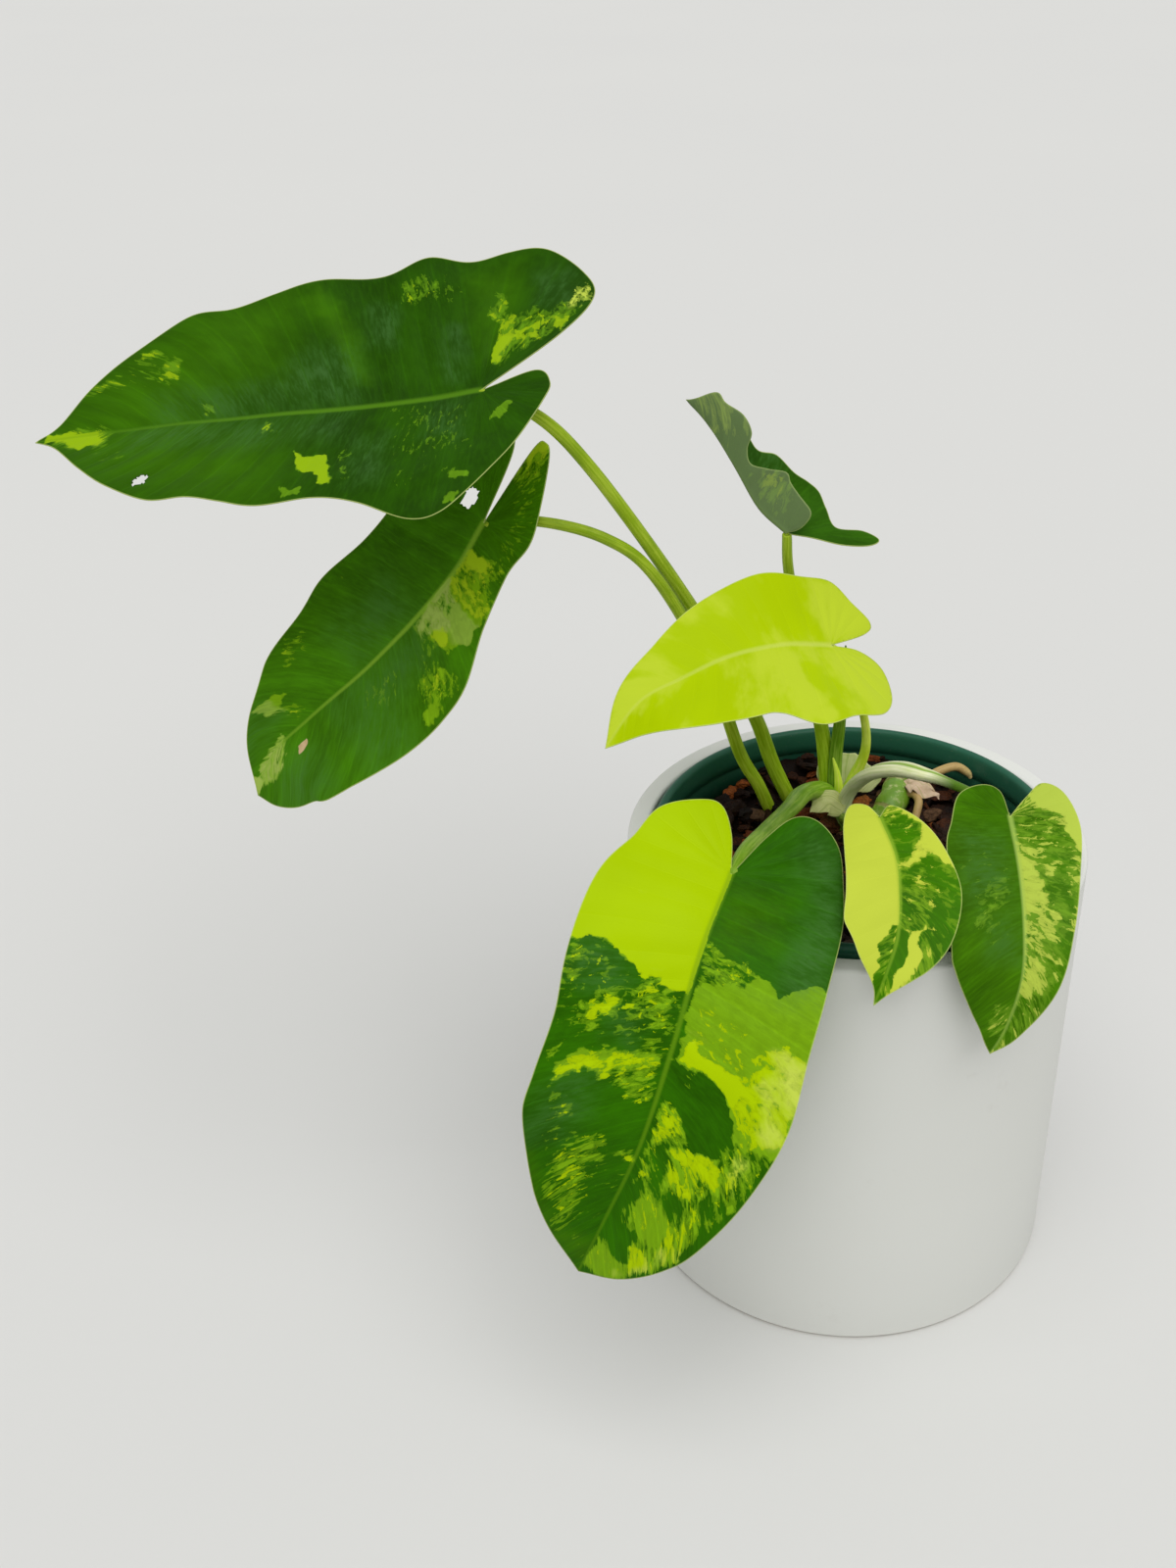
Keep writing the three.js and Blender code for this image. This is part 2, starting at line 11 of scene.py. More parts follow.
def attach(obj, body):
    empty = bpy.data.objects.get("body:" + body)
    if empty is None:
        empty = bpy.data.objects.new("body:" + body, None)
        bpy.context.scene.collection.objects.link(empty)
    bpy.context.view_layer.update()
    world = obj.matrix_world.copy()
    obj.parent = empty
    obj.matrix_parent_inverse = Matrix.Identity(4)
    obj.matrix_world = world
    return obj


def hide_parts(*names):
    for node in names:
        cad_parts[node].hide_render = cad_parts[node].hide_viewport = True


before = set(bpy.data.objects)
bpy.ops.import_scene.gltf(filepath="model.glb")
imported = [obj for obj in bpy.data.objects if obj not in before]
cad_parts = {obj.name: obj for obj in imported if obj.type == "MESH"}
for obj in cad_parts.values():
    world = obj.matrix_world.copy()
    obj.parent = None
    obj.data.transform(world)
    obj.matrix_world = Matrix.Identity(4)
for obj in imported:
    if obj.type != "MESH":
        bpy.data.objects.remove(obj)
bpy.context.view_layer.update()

# Blender's vector noise follows the clock unless it is given a seed.
NOISE_SEED = 1795767953
noise.seed_set(NOISE_SEED)

# Cachepot: the white outer pot, a straight ceramic cylinder with a matt glaze. It is cast in
# one piece, stands on an unglazed ring under its wall, and has softly rounded edges.
MM = 0.001
POT_RADIUS = 90.0
POT_HEIGHT = 193.0
POT_WALL = 8.0
POT_FLOOR = 8.0
RIM_SOFT = 1.5
FOOT_SOFT = 3.0
RING_INNER = POT_RADIUS - 14
RING_EDGE = 0.4


def paint(red, green, blue):
    """A colour given from 0 to 255 as the eye reads it, as linear light."""

    def linear(level):
        level /= 255
        return level / 12.92 if level <= 0.04045 else ((level + 0.055) / 1.055) ** 2.4

    return (linear(red), linear(green), linear(blue), 1.0)


class Finish:
    """A surface finish: shader nodes that end in one principled surface."""

    def __init__(self, name):
        self.material = bpy.data.materials.new(name)
        self.material.use_nodes = True
        self.tree = self.material.node_tree
        self.tree.nodes.clear()
        self.surface = self.tree.nodes.new("ShaderNodeBsdfPrincipled")
        output = self.tree.nodes.new("ShaderNodeOutputMaterial")
        self.tree.links.new(self.surface.outputs[0], output.inputs[0])

    def feed(self, socket, value):
        if isinstance(value, bpy.types.NodeSocket):
            self.tree.links.new(value, socket)
        else:
            socket.default_value = value

    def add(self, kind, inputs, out=0, **settings):
        """A new node with its inputs fed, by name or by place; gives the output asked for."""
        node = self.tree.nodes.new("ShaderNode" + kind)
        for name, value in settings.items():
            setattr(node, name, value)
        for key, value in inputs.items():
            self.feed(node.inputs[key], value)
        return node.outputs[out]

    def give(self, name, value):
        self.feed(self.surface.inputs[name], value)

    def read(self, name, out="Vector"):
        return self.add("Attribute", {}, out=out, attribute_name=name)

    def split(self, vector):
        node = self.tree.nodes.new("ShaderNodeSeparateXYZ")
        self.tree.links.new(vector, node.inputs[0])
        return node.outputs[0], node.outputs[1], node.outputs[2]

    def join(self, x, y, z):
        return self.add("CombineXYZ", {0: x, 1: y, 2: z})

    def calc(self, operation, *values):
        return self.add("Math", dict(enumerate(values)), operation=operation)

    def plus(self, a, b):
        return self.calc("ADD", a, b)

    def less(self, a, b):
        return self.calc("SUBTRACT", a, b)

    def times(self, a, b):
        return self.calc("MULTIPLY", a, b)

    def step(self, value, low, high, start=0.0, end=1.0):
        """A soft step from start to end while the value goes from low to high."""
        levels = {"Value": value, "From Min": low, "From Max": high, "To Min": start, "To Max": end}
        return self.add("MapRange", levels, interpolation_type="SMOOTHSTEP")

    def blend(self, share, under, over):
        return self.add("Mix", {0: share, 6: under, 7: over}, out=2, data_type="RGBA")

    def shade(self, colour, factor):
        """The colour made lighter or darker by a factor."""
        if isinstance(colour, tuple):
            colour = colour[:3]
        return self.add("VectorMath", {0: colour, "Scale": factor}, operation="SCALE")

    def where(self, size=1.0):
        """The place on the object, in steps of the given size in millimetres."""
        place = self.add("TexCoord", {}, out="Object")
        return self.add("VectorMath", {0: place, "Scale": 1 / (size * MM)}, operation="SCALE")

    def grain(self, place, detail=3.0, rough=0.55, warp=0.0):
        """Cloudy noise around one half, with features about one step wide."""
        inputs = {"Vector": place, "Scale": 1, "Detail": detail, "Roughness": rough, "Distortion": warp}
        return self.add("TexNoise", inputs)

    def sheen(self, roughness, specular):
        self.give("Roughness", roughness)
        self.give("Specular IOR Level", specular)

    def bump(self, height, depth, strength=1.0):
        """Relief of the given depth in millimetres."""
        inputs = {"Height": height, "Distance": depth * MM, "Strength": strength}
        self.give("Normal", self.add("Bump", inputs))


def mesh_piece(name, points, faces, finish, smooth=True):
    """A piece from points in millimetres and its faces."""
    mesh = bpy.data.meshes.new(name)
    mesh.from_pydata((np.asarray(points, float) * MM).tolist(), [], faces)
    mesh.polygons.foreach_set("use_smooth", [smooth] * len(mesh.polygons))
    mesh.materials.append(finish.material)
    piece = bpy.data.objects.new(name, mesh)
    bpy.context.scene.collection.objects.link(piece)
    return piece


def note(piece, name, values, kind="FLOAT_VECTOR"):
    """Keeps one value for each point of a piece, for its finish to read."""
    layer = piece.data.attributes.new(name, kind, "POINT")
    field = {"FLOAT": "value", "FLOAT_VECTOR": "vector", "FLOAT_COLOR": "color"}[kind]
    layer.data.foreach_set(field, np.asarray(values, np.float32).ravel())


def fit(piece, slot, *nodes):
    """Fixes a finished piece to the object, in place of the CAD nodes it stands for."""
    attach(piece, "root")
    if nodes:
        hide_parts(*nodes)


def arc(centre, radius, start, end, steps=6):
    """Points [radius, height] round a corner, between two angles in degrees."""
    angles = [math.radians(start + (end - start) * i / steps) for i in range(steps + 1)]
    return [[centre[0] + radius * math.cos(a), centre[1] + radius * math.sin(a)] for a in angles]


def turn(outline, sides=192):
    """Points and faces of a solid of revolution, from [radius, height] with both ends at 0."""
    rings = outline[1:-1]
    points = [[0, 0, outline[0][1]], [0, 0, outline[-1][1]]]
    for radius, height in rings:
        for i in range(sides):
            angle = 2 * math.pi * i / sides
            points.append([radius * math.cos(angle), radius * math.sin(angle), height])
    faces = []
    for i in range(sides):
        right = (i + 1) % sides
        faces.append((0, 2 + right, 2 + i))
        for k in range(len(rings) - 1):
            low = 2 + k * sides
            faces.append((low + i, low + right, low + sides + right, low + sides + i))
        last = 2 + (len(rings) - 1) * sides
        faces.append((1, last + i, last + right))
    return points, faces


glaze = Finish("matt_white_glaze")
scuff = glaze.step(glaze.grain(glaze.where(28), 6, 0.68), 0.63, 0.72)
speck = glaze.step(glaze.grain(glaze.where(1.6), 2, 0.5), 0.72, 0.78)
drift = glaze.grain(glaze.where(60), 2, 0.5)
height = glaze.split(glaze.where())[2]
clay = glaze.blend(drift, paint(215, 216, 210), paint(219, 220, 215))
clay = glaze.blend(glaze.times(scuff, 0.08), clay, paint(170, 160, 145))
clay = glaze.blend(glaze.times(speck, 0.12), clay, paint(190, 188, 178))
# Painted shade: a thin brown line round the very foot, standing in for the contact shadow where the pot
# meets the floor.
painted_foot_shadow = glaze.step(height, 0.5, 1.6, 0.5, 0.0)
clay = glaze.blend(painted_foot_shadow, clay, paint(196, 180, 156))
# Painted light: the top of the rim is painted lighter against the leaves' shadow on it, and the rounded
# foot is painted lighter against its own shade.
painted_rim_light = glaze.step(height, POT_HEIGHT - 1.2, POT_HEIGHT - 0.2, 1.0, 1.05)
painted_foot_light = glaze.step(height, 1.0, 4.0, 1.12, 1.0)
glaze.give("Base Color", glaze.shade(clay, glaze.times(painted_rim_light, painted_foot_light)))
glaze.sheen(glaze.step(drift, 0.2, 0.8, 0.5, 0.62), 0.35)
orange_peel = glaze.grain(glaze.where(2.2), 3, 0.5)
glaze.bump(orange_peel, 0.05, 0.5)

inner_radius = POT_RADIUS - POT_WALL
cachepot_outline = [
    [0, 2 * RING_EDGE],
    [RING_INNER, 2 * RING_EDGE],
    *arc([RING_INNER, RING_EDGE], RING_EDGE, 90, 0, 2),
    [RING_INNER + 1, 0],
    [POT_RADIUS - FOOT_SOFT, 0],
    *arc([POT_RADIUS - FOOT_SOFT, FOOT_SOFT], FOOT_SOFT, -90, 0),
    [POT_RADIUS, 60],
    [POT_RADIUS, 120],
    *arc([POT_RADIUS - RIM_SOFT, POT_HEIGHT - RIM_SOFT], RIM_SOFT, 0, 90),
    *arc([inner_radius + RIM_SOFT, POT_HEIGHT - RIM_SOFT], RIM_SOFT, 90, 180),
    *arc([inner_radius - FOOT_SOFT, POT_FLOOR + FOOT_SOFT], FOOT_SOFT, 0, -90),
    [0, POT_FLOOR],
]
fit(mesh_piece("outer_pot", *turn(cachepot_outline), glaze), "cachepot_white", "cachepot")

# Nursery pot: a thin tapered pot of dark teal plastic, moulded in one piece. It stands loose in
# the cachepot, its rolled lip just above the rim, and drains through six holes in its floor.
LIP_TOP = 196.0
LIP_RADIUS = 80.0
THROAT_RADIUS = 76.0
THROAT_HEIGHT = LIP_TOP - 13
FOOT_RADIUS = 60.0
NURSERY_FOOT = POT_FLOOR + 0.3
NURSERY_FLOOR = NURSERY_FOOT + 3
NURSERY_WALL = 2.0
DRAIN_CIRCLE = 42.0
DRAIN_RADIUS = 6.0
DRAIN_COUNT = 6
ROLL = 2.0
CORNER_SOFT = 1.5

plastic = Finish("teal_plastic")
height = plastic.split(plastic.where())[2]
inside_shade = plastic.step(height, LIP_TOP - 22, LIP_TOP - 3)
body = plastic.blend(inside_shade, paint(0, 34, 20), paint(38, 92, 70))
rub = plastic.step(plastic.grain(plastic.where(7), 6, 0.7), 0.55, 0.7)
body = plastic.blend(plastic.times(rub, 0.08), body, paint(112, 128, 116))
dust = plastic.step(plastic.grain(plastic.where(0.7), 2, 0.5), 0.66, 0.74)
body = plastic.blend(plastic.times(dust, 0.3), body, paint(120, 112, 96))
plastic.give("Base Color", body)
plastic.sheen(plastic.step(rub, 0, 1, 0.38, 0.55), 0.2)
plastic.bump(plastic.grain(plastic.where(1.2), 4, 0.6), 0.06, 0.6)

lip_inner = LIP_RADIUS - 4.2
floor_radius = FOOT_RADIUS - NURSERY_WALL
nursery_outline = [
    [0, NURSERY_FOOT],
    *arc([FOOT_RADIUS - CORNER_SOFT, NURSERY_FOOT + CORNER_SOFT], CORNER_SOFT, -90, 0, 4),
    [THROAT_RADIUS, THROAT_HEIGHT],
    [LIP_RADIUS - 0.6, THROAT_HEIGHT + 1],
    [LIP_RADIUS, THROAT_HEIGHT + 2],
    [LIP_RADIUS, LIP_TOP - 3.4],
    [LIP_RADIUS - 0.4, LIP_TOP - 3],
    *arc([LIP_RADIUS - ROLL, LIP_TOP - ROLL], ROLL, 0, 180, 8),
    [lip_inner, LIP_TOP - 2.6],
    [lip_inner - 0.3, LIP_TOP - 7],
    *arc([lip_inner - 1.1, LIP_TOP - 10.5], 0.8, 60, -20, 4),
    [lip_inner - 0.9, LIP_TOP - 12],
    [THROAT_RADIUS - NURSERY_WALL, THROAT_HEIGHT - 2],
    *arc([floor_radius - CORNER_SOFT, NURSERY_FLOOR + CORNER_SOFT], CORNER_SOFT, 0, -90, 4),
    [0, NURSERY_FLOOR],
]
inner_pot = mesh_piece("inner_pot", *turn(nursery_outline), plastic)
drill_points = []
drill_faces = []
low, high = NURSERY_FOOT - 2, NURSERY_FLOOR + 2
points, faces = turn([[0, low], [DRAIN_RADIUS, low], [DRAIN_RADIUS, high], [0, high]], 48)
for hole in range(DRAIN_COUNT):
    heading = 2 * math.pi * hole / DRAIN_COUNT
    shift_x, shift_y = DRAIN_CIRCLE * math.cos(heading), DRAIN_CIRCLE * math.sin(heading)
    first = len(drill_points)
    drill_points += [[x + shift_x, y + shift_y, z] for x, y, z in points]
    drill_faces += [tuple(first + corner for corner in face) for face in faces]
drill = mesh_piece("drill", drill_points, drill_faces, plastic)
cut = inner_pot.modifiers.new("drain_holes", "BOOLEAN")
cut.object = drill
cut.operation = "DIFFERENCE"
cut.solver = "EXACT"
ready = inner_pot.evaluated_get(bpy.context.evaluated_depsgraph_get())
drilled = bpy.data.meshes.new_from_object(ready)
inner_pot.modifiers.clear()
inner_pot.data = drilled
bpy.data.objects.remove(drill)
fit(inner_pot, "pot_green", "nursery_pot")

# Potting mix: wet bark chips and crumbs that fill the nursery pot to about 16 mm under its
# lip. The chips are fir bark and lie as they fell, most of them dark, some freshly broken.
SOIL_TOP = LIP_TOP - 18
SOIL_REACH = 73.0
CHIP_COUNT = 560
GOLDEN_ANGLE = math.radians(137.5)
BACK_RISE = 7.0

bark = Finish("wet_bark")
chip_colour = bark.read("chip", out="Color")
fleck = bark.grain(bark.where(1.1), 6, 0.7)
fibre = bark.grain(bark.where(4), 5, 0.7)
fleck_shade = bark.step(fleck, 0.3, 0.72, 0.45, 1.55)
tone = bark.times(fleck_shade, bark.step(fibre, 0.3, 0.7, 0.75, 1.2))
bark.give("Base Color", bark.shade(chip_colour, tone))
bark.sheen(bark.step(fibre, 0.35, 0.65, 0.34, 0.8), 0.14)
bark.bump(bark.grain(bark.where(0.8), 6, 0.75), 0.5, 0.9)

# How many of the chips have each colour.
chip_colours = {
    paint(22, 10, 3): 9,
    paint(38, 18, 7): 7,
    paint(58, 29, 12): 5,
    paint(84, 46, 22): 2,
    paint(112, 54, 20): 2,
    paint(140, 78, 34): 1,
    paint(96, 70, 44): 1,
}
ORANGE_BARK = paint(140, 72, 28)
GREY_BARK = paint(84, 60, 40)
WET_BARK = paint(44, 26, 18)

dice = random.Random(11)


def chip_shape():
    """A blocky ball: the stock that every chip is scaled from."""
    ball = bmesh.new()
    bmesh.ops.create_icosphere(ball, subdivisions=3, radius=1)
    points = np.array([corner.co for corner in ball.verts])
    faces = [[corner.index for corner in face.verts] for face in ball.faces]
    ball.free()
    return np.sign(points) * np.abs(points) ** 0.75, faces


def heap(y):
    """How much higher the mix lies towards the back of the pot."""
    share = min(1, max(0, (y - 40) / 30))
    return BACK_RISE * share * share * (3 - 2 * share)


stock, stock_faces = chip_shape()
mix_points = []
mix_faces = []
mix_colours = []


def lay_chip(place, size, turned, colour):
    """Adds one chip to the mix: its centre, length, width and height, its lie and its colour."""
    start = len(mix_points)
    spin = Matrix.Rotation(turned[2], 3, "Z") @ Matrix.Rotation(turned[1], 3, "Y")
    spin = spin @ Matrix.Rotation(turned[0], 3, "X")
    shift = Vector((dice.random() * 90, dice.random() * 90, dice.random() * 90))
    for corner in stock:
        corner = Vector(corner)
        rough = 0.42 * noise.noise(corner * 1.3 + shift) + 0.14 * noise.noise(corner * 3.7 + shift)
        lump = Vector([c * s / 2 * (1 + rough) for c, s in zip(corner, size)])
        mix_points.append(Vector(place) + spin @ lump)
        mix_colours.append(colour)
    mix_faces.extend([start + corner for corner in face] for face in stock_faces)


for number in range(CHIP_COUNT):
    big = dice.random() ** 2.2
    length = 3 + 11 * big
    size = (length, length * dice.uniform(0.4, 0.75), length * dice.uniform(0.22, 0.4))
    reach = (SOIL_REACH - length / 2) * math.sqrt((number + 0.5) / CHIP_COUNT)
    heading = GOLDEN_ANGLE * number + dice.uniform(-0.1, 0.1)
    height = SOIL_TOP + heap(reach * math.sin(heading)) + dice.uniform(0.3, 2.2) + 1.6 * big
    tilt = (dice.uniform(-0.5, 0.5), dice.uniform(-0.4, 0.4), dice.uniform(0, 6.28))
    colour = dice.choices(list(chip_colours), list(chip_colours.values()))[0]
    bright = dice.uniform(0.7, 1.25)
    colour = (*(level * bright for level in colour[:3]), 1)
    lay_chip((reach * math.cos(heading), reach * math.sin(heading), height), size, tilt, colour)

# The chips that stand out: x, y, length, width, height, heading in degrees, and colour.
for x, y, length, width, height, heading, colour in [
    (-70, 43, 6, 4, 3, 20, ORANGE_BARK),
    (-62, 50, 9, 5, 4, -30, ORANGE_BARK),
    (-53, 41, 8, 5, 4, 60, ORANGE_BARK),
    (-48, 47, 6, 4, 3, 10, ORANGE_BARK),
    (-41, 24, 9, 6, 4, -20, GREY_BARK),
    (-54, 8, 10, 6, 5, 40, GREY_BARK),
    (-43, 2, 6, 4, 3, 80, ORANGE_BARK),
    (39, 17, 24, 8, 4, -62, WET_BARK),
    (24, 28, 14, 9, 4, 70, WET_BARK),
    (31, 32, 9, 6, 5, 30, GREY_BARK),
    (13, 45, 9, 6, 4, -10, GREY_BARK),
    (45, 33, 6, 4, 3, 70, ORANGE_BARK),
    (1, -62, 9, 6, 4, 0, GREY_BARK),
]:
    lie = (0.1, -0.1, math.radians(heading))
    lay_chip((x, y, SOIL_TOP + heap(y) + 4), (length, width, height), lie, colour)

chips = mesh_piece("bark_chips", mix_points, mix_faces, bark, smooth=False)
note(chips, "chip", mix_colours, "FLOAT_COLOR")
fit(chips, "bark_mix", "potting_mix")

soil_outline = [[0, NURSERY_FLOOR + 0.3], [floor_radius - 0.6, NURSERY_FLOOR + 0.3]]
soil_edge = THROAT_RADIUS - NURSERY_WALL - 0.9
soil_outline += [[soil_edge * i / 30, SOIL_TOP] for i in range(30, 0, -1)] + [[0, SOIL_TOP]]
points, faces = turn(soil_outline, 128)
crumbs = []
for x, y, z in points:
    if z > SOIL_TOP - 1:
        spot = Vector((x, y, 0))
        z += heap(y) + 1.6 * noise.noise(spot * 0.11) + 1.1 * noise.noise(spot * 0.4) - 0.4
    crumbs.append([x, y, z])
soil = mesh_piece("soil_plug", crumbs, faces, bark)
note(soil, "chip", [paint(24, 12, 6)] * len(crumbs), "FLOAT_COLOR")
fit(soil, "bark_mix", "potting_mix")

# Creeping stem: the plant's thick green rhizome, which arches out of the mix and back. Its
# internodes are ringed where old sheaths were, and cream shreds of the sheaths cling to it.


def smooth_curve(points, steps):
    """A smooth curve through points of any number of values, as many small steps."""
    points = np.asarray(points, float)
    ends = [2 * points[0] - points[1], *points, 2 * points[-1] - points[-2]]
    curve = []
    for i in range(1, len(ends) - 2):
        p0, p1, p2, p3 = ends[i - 1 : i + 3]
        for k in range(steps):
            t = k / steps
            bend = 2 * p0 - 5 * p1 + 4 * p2 - p3
            twist = -p0 + 3 * p1 - 3 * p2 + p3
            curve.append(0.5 * (2 * p1 + (p2 - p0) * t + bend * t * t + twist * t**3))
    curve.append(points[-1])
    return np.array(curve)


def running_length(curve):
    """The length along a curve up to each of its points."""
    steps = np.linalg.norm(np.diff(curve[:, :3], axis=0), axis=1)
    return np.concatenate([[0], np.cumsum(steps)])


def unit(vectors):
    """The same directions, each one long."""
    vectors = np.asarray(vectors, float)
    return vectors / np.linalg.norm(vectors, axis=-1, keepdims=True)


def grow(name, route, finish, sides=28, steps=14, shape=None):
    """A stem through [x, y, z, width, depth], measured from the middle of the pot's rim. A
    shape, if given, says how thick it is, from its way along and round, both from 0 to 1."""
    curve = smooth_curve(route, steps)
    curve[:, 2] += LIP_TOP
    length = running_length(curve)
    across = np.array([1.0, 0, 0])
    points, marks = [], []
    count = len(curve)
    for i, (x, y, z, width, depth) in enumerate(curve):
        along = unit(curve[min(i + 1, count - 1), :3] - curve[max(i - 1, 0), :3])
        across = unit(across - along * (along @ across))
        square = np.cross(along, across)
        end = min(length[i], length[-1] - length[i])
        blunt = math.sqrt(min(1, (end + 0.15) / (0.35 * (width + depth) / 2)))
        for k in range(sides):
            angle = 2 * math.pi * k / sides
            thick = blunt * (shape(length[i] / length[-1], k / sides) if shape else 1)
            side = across * math.cos(angle) * width / 2 + square * math.sin(angle) * depth / 2
            points.append(np.array([x, y, z]) + side * thick)
            marks.append((length[i], k / sides, length[-1]))
    faces = []
    for i in range(count - 1):
        for k in range(sides):
            right = (k + 1) % sides
            a, b = i * sides + k, i * sides + right
            faces.append((a, b, b + sides, a + sides))
    faces.append(tuple(range(sides - 1, -1, -1)))
    faces.append(tuple(range((count - 1) * sides, count * sides)))
    piece = mesh_piece(name, points, faces, finish)
    note(piece, "stalk", marks)
    return piece


rhizome = Finish("green_rhizome")
way, around, _ = rhizome.split(rhizome.read("stalk"))
ring = rhizome.calc("PINGPONG", rhizome.plus(way, rhizome.grain(rhizome.where(9))), 7)
scar = rhizome.step(ring, 0.35, 1.1, 1, 0)
patch = rhizome.step(rhizome.grain(rhizome.where(6), 5, 0.7), 0.5, 0.62)
height = rhizome.split(rhizome.where())[2]
cream_here = rhizome.step(height, LIP_TOP - 9, LIP_TOP - 4.5, 0.25, 0.9)
skin = rhizome.blend(rhizome.grain(rhizome.where(5), 4, 0.6), paint(84, 134, 14), paint(132, 172, 46))
skin = rhizome.blend(rhizome.times(patch, cream_here), skin, paint(198, 204, 138))
skin = rhizome.blend(rhizome.times(scar, 0.6), skin, paint(150, 134, 78))
rhizome.give("Base Color", skin)
rhizome.give("Roughness", 0.4)
rhizome.bump(rhizome.less(rhizome.grain(rhizome.where(2.5), 4, 0.6), scar), 0.4, 0.6)


def knuckles(way, around):
    """The rhizome swells at its joints."""
    return 1 + 0.03 * math.sin(way * 31) + 0.03 * math.sin(way * 67 + around * 6.28)


rhizome_route = [[19, 53, -19, 9, 9], [17, 47, -11, 12, 12], [16, 37, -10, 12, 12], [9, 27, -17, 13, 13],
    [-4, 30, -19, 14, 14], [-12, 43, -17, 15, 15], [-23, 42, -24, 14, 14], [-34, 36, -30, 10, 10]]
fit(grow("rhizome", rhizome_route, rhizome, 40, 16, knuckles), "stem_green", "creeping_stem")

# Aerial roots: two tan roots that leave the rhizome, one over the mix and one down into it.
# They are round, dry and finely wrinkled, and paler at the tip.
root_skin = Finish("tan_root")
way, around, _ = root_skin.split(root_skin.read("stalk"))
wrinkle = root_skin.grain(root_skin.join(way, root_skin.times(around, 9), 0), 4, 0.6)
stain = root_skin.grain(root_skin.where(5), 4, 0.6)
bark_tan = root_skin.blend(stain, paint(150, 112, 58), paint(214, 186, 118))
pale_tip = root_skin.step(way, 0, 9, 0.6, 0)
root_skin.give("Base Color", root_skin.blend(pale_tip, bark_tan, paint(226, 208, 140)))
root_skin.give("Roughness", 0.55)
root_skin.bump(wrinkle, 0.3, 0.8)

aerial_roots = {
    "aerial_root_1": [[48, 55, -9, 1.4, 1.4], [46, 55, -6, 3.2, 3.2], [41, 54, -3, 3.7, 3.7],
        [34, 51, -4, 3.7, 3.7], [26, 48, -8, 3.7, 3.7], [18, 45, -10, 3.7, 3.7]],
    "aerial_root_2": [[25, 25, -20, 2.4, 2.4], [25, 27, -13, 3.2, 3.2], [26, 33, -8, 3.4, 3.4],
        [23, 37, -7, 3.4, 3.4], [16, 38, -9, 3.4, 3.4]],
}
for node, route in aerial_roots.items():
    fit(grow(node.replace("aerial_", "air_"), route, root_skin, 20), "root_tan", node)

# Leaf stalks: seven green stalks, a new shoot and a thin spear, all from the crown of the
# rhizome. The sixth stalk is winged and grooved low down, where it sheathed a younger leaf.


def stalk_finish(name, *colours):
    """Smooth green skin with fine pale streaks along it, in a base, a light and a dark colour."""
    base, light, dark = (paint(*colour) for colour in colours)
    skin = Finish(name)
    way, around, total = skin.split(skin.read("stalk"))
    lengthwise = skin.join(skin.times(way, 0.06), skin.times(around, 22), 3)
    streak = skin.grain(lengthwise, 4, 0.6)
    cloud = skin.grain(skin.where(14), 3, 0.6)
    colour = skin.blend(skin.step(streak, 0.4, 0.62), base, light)
    colour = skin.blend(skin.step(cloud, 0.45, 0.7, 0, 0.4), colour, dark)
    # Painted light: the lowest 10 to 80 mm of each stalk, near the crown, is painted up to 1.7 times
    # lighter against the shade of the leaves above it.
    low = skin.step(skin.less(total, way), 10, 80, 1.7, 1)
    skin.give("Base Color", skin.shade(colour, low))
    skin.sheen(0.4, 0.12)
    skin.bump(streak, 0.12, 0.5)
    return skin


green_stalk = stalk_finish("green_stalk", (134, 164, 20), (162, 186, 50), (104, 138, 12))
broad_stalk = stalk_finish("broad_stalk", (104, 146, 22), (136, 168, 58), (82, 122, 14))
dark_stalk = stalk_finish("dark_stalk", (86, 122, 20), (120, 150, 50), (62, 96, 10))
lime_stalk = stalk_finish("lime_stalk", (182, 204, 48), (204, 216, 98), (158, 184, 32))

# Shares of the winged stalk: of the way round, of its thickness, and of the way down it.
UPPER_SIDE = 0.75
GROOVE_WIDE = 0.09
GROOVE_DEPTH = 0.42
GROOVE_START = 0.32

sheath = Finish("winged_sheath")
way, around, _ = sheath.split(sheath.read("stalk"))
crest = sheath.calc("ABSOLUTE", sheath.less(around, UPPER_SIDE))
wide = sheath.step(way, 30, 46)
groove = sheath.step(crest, 0.02, 0.1, 1, 0)
cream = sheath.blend(sheath.grain(sheath.where(5), 4, 0.6), paint(236, 240, 176), paint(250, 250, 220))
lengthwise = sheath.join(sheath.times(way, 0.08), sheath.times(around, 26), 1)
fibre = sheath.grain(lengthwise, 4, 0.6)
low = sheath.blend(sheath.step(fibre, 0.42, 0.64, 0, 0.45), cream, paint(184, 204, 108))
low = sheath.blend(groove, low, paint(142, 178, 56))
top = sheath.blend(fibre, paint(62, 100, 14), paint(98, 138, 34))
sheath.give("Base Color", sheath.blend(wide, top, low))
sheath.sheen(0.42, 0.15)
sheath.bump(fibre, 0.2, 0.6)


def winged(way, around):
    """The lower part of the sixth stalk is flat above, with a shallow groove."""
    crest = abs(around - UPPER_SIDE)
    groove = GROOVE_DEPTH * math.exp(-((crest / GROOVE_WIDE) ** 2))
    return 1 - groove * min(1, max(0, (way - GROOVE_START) * 8))


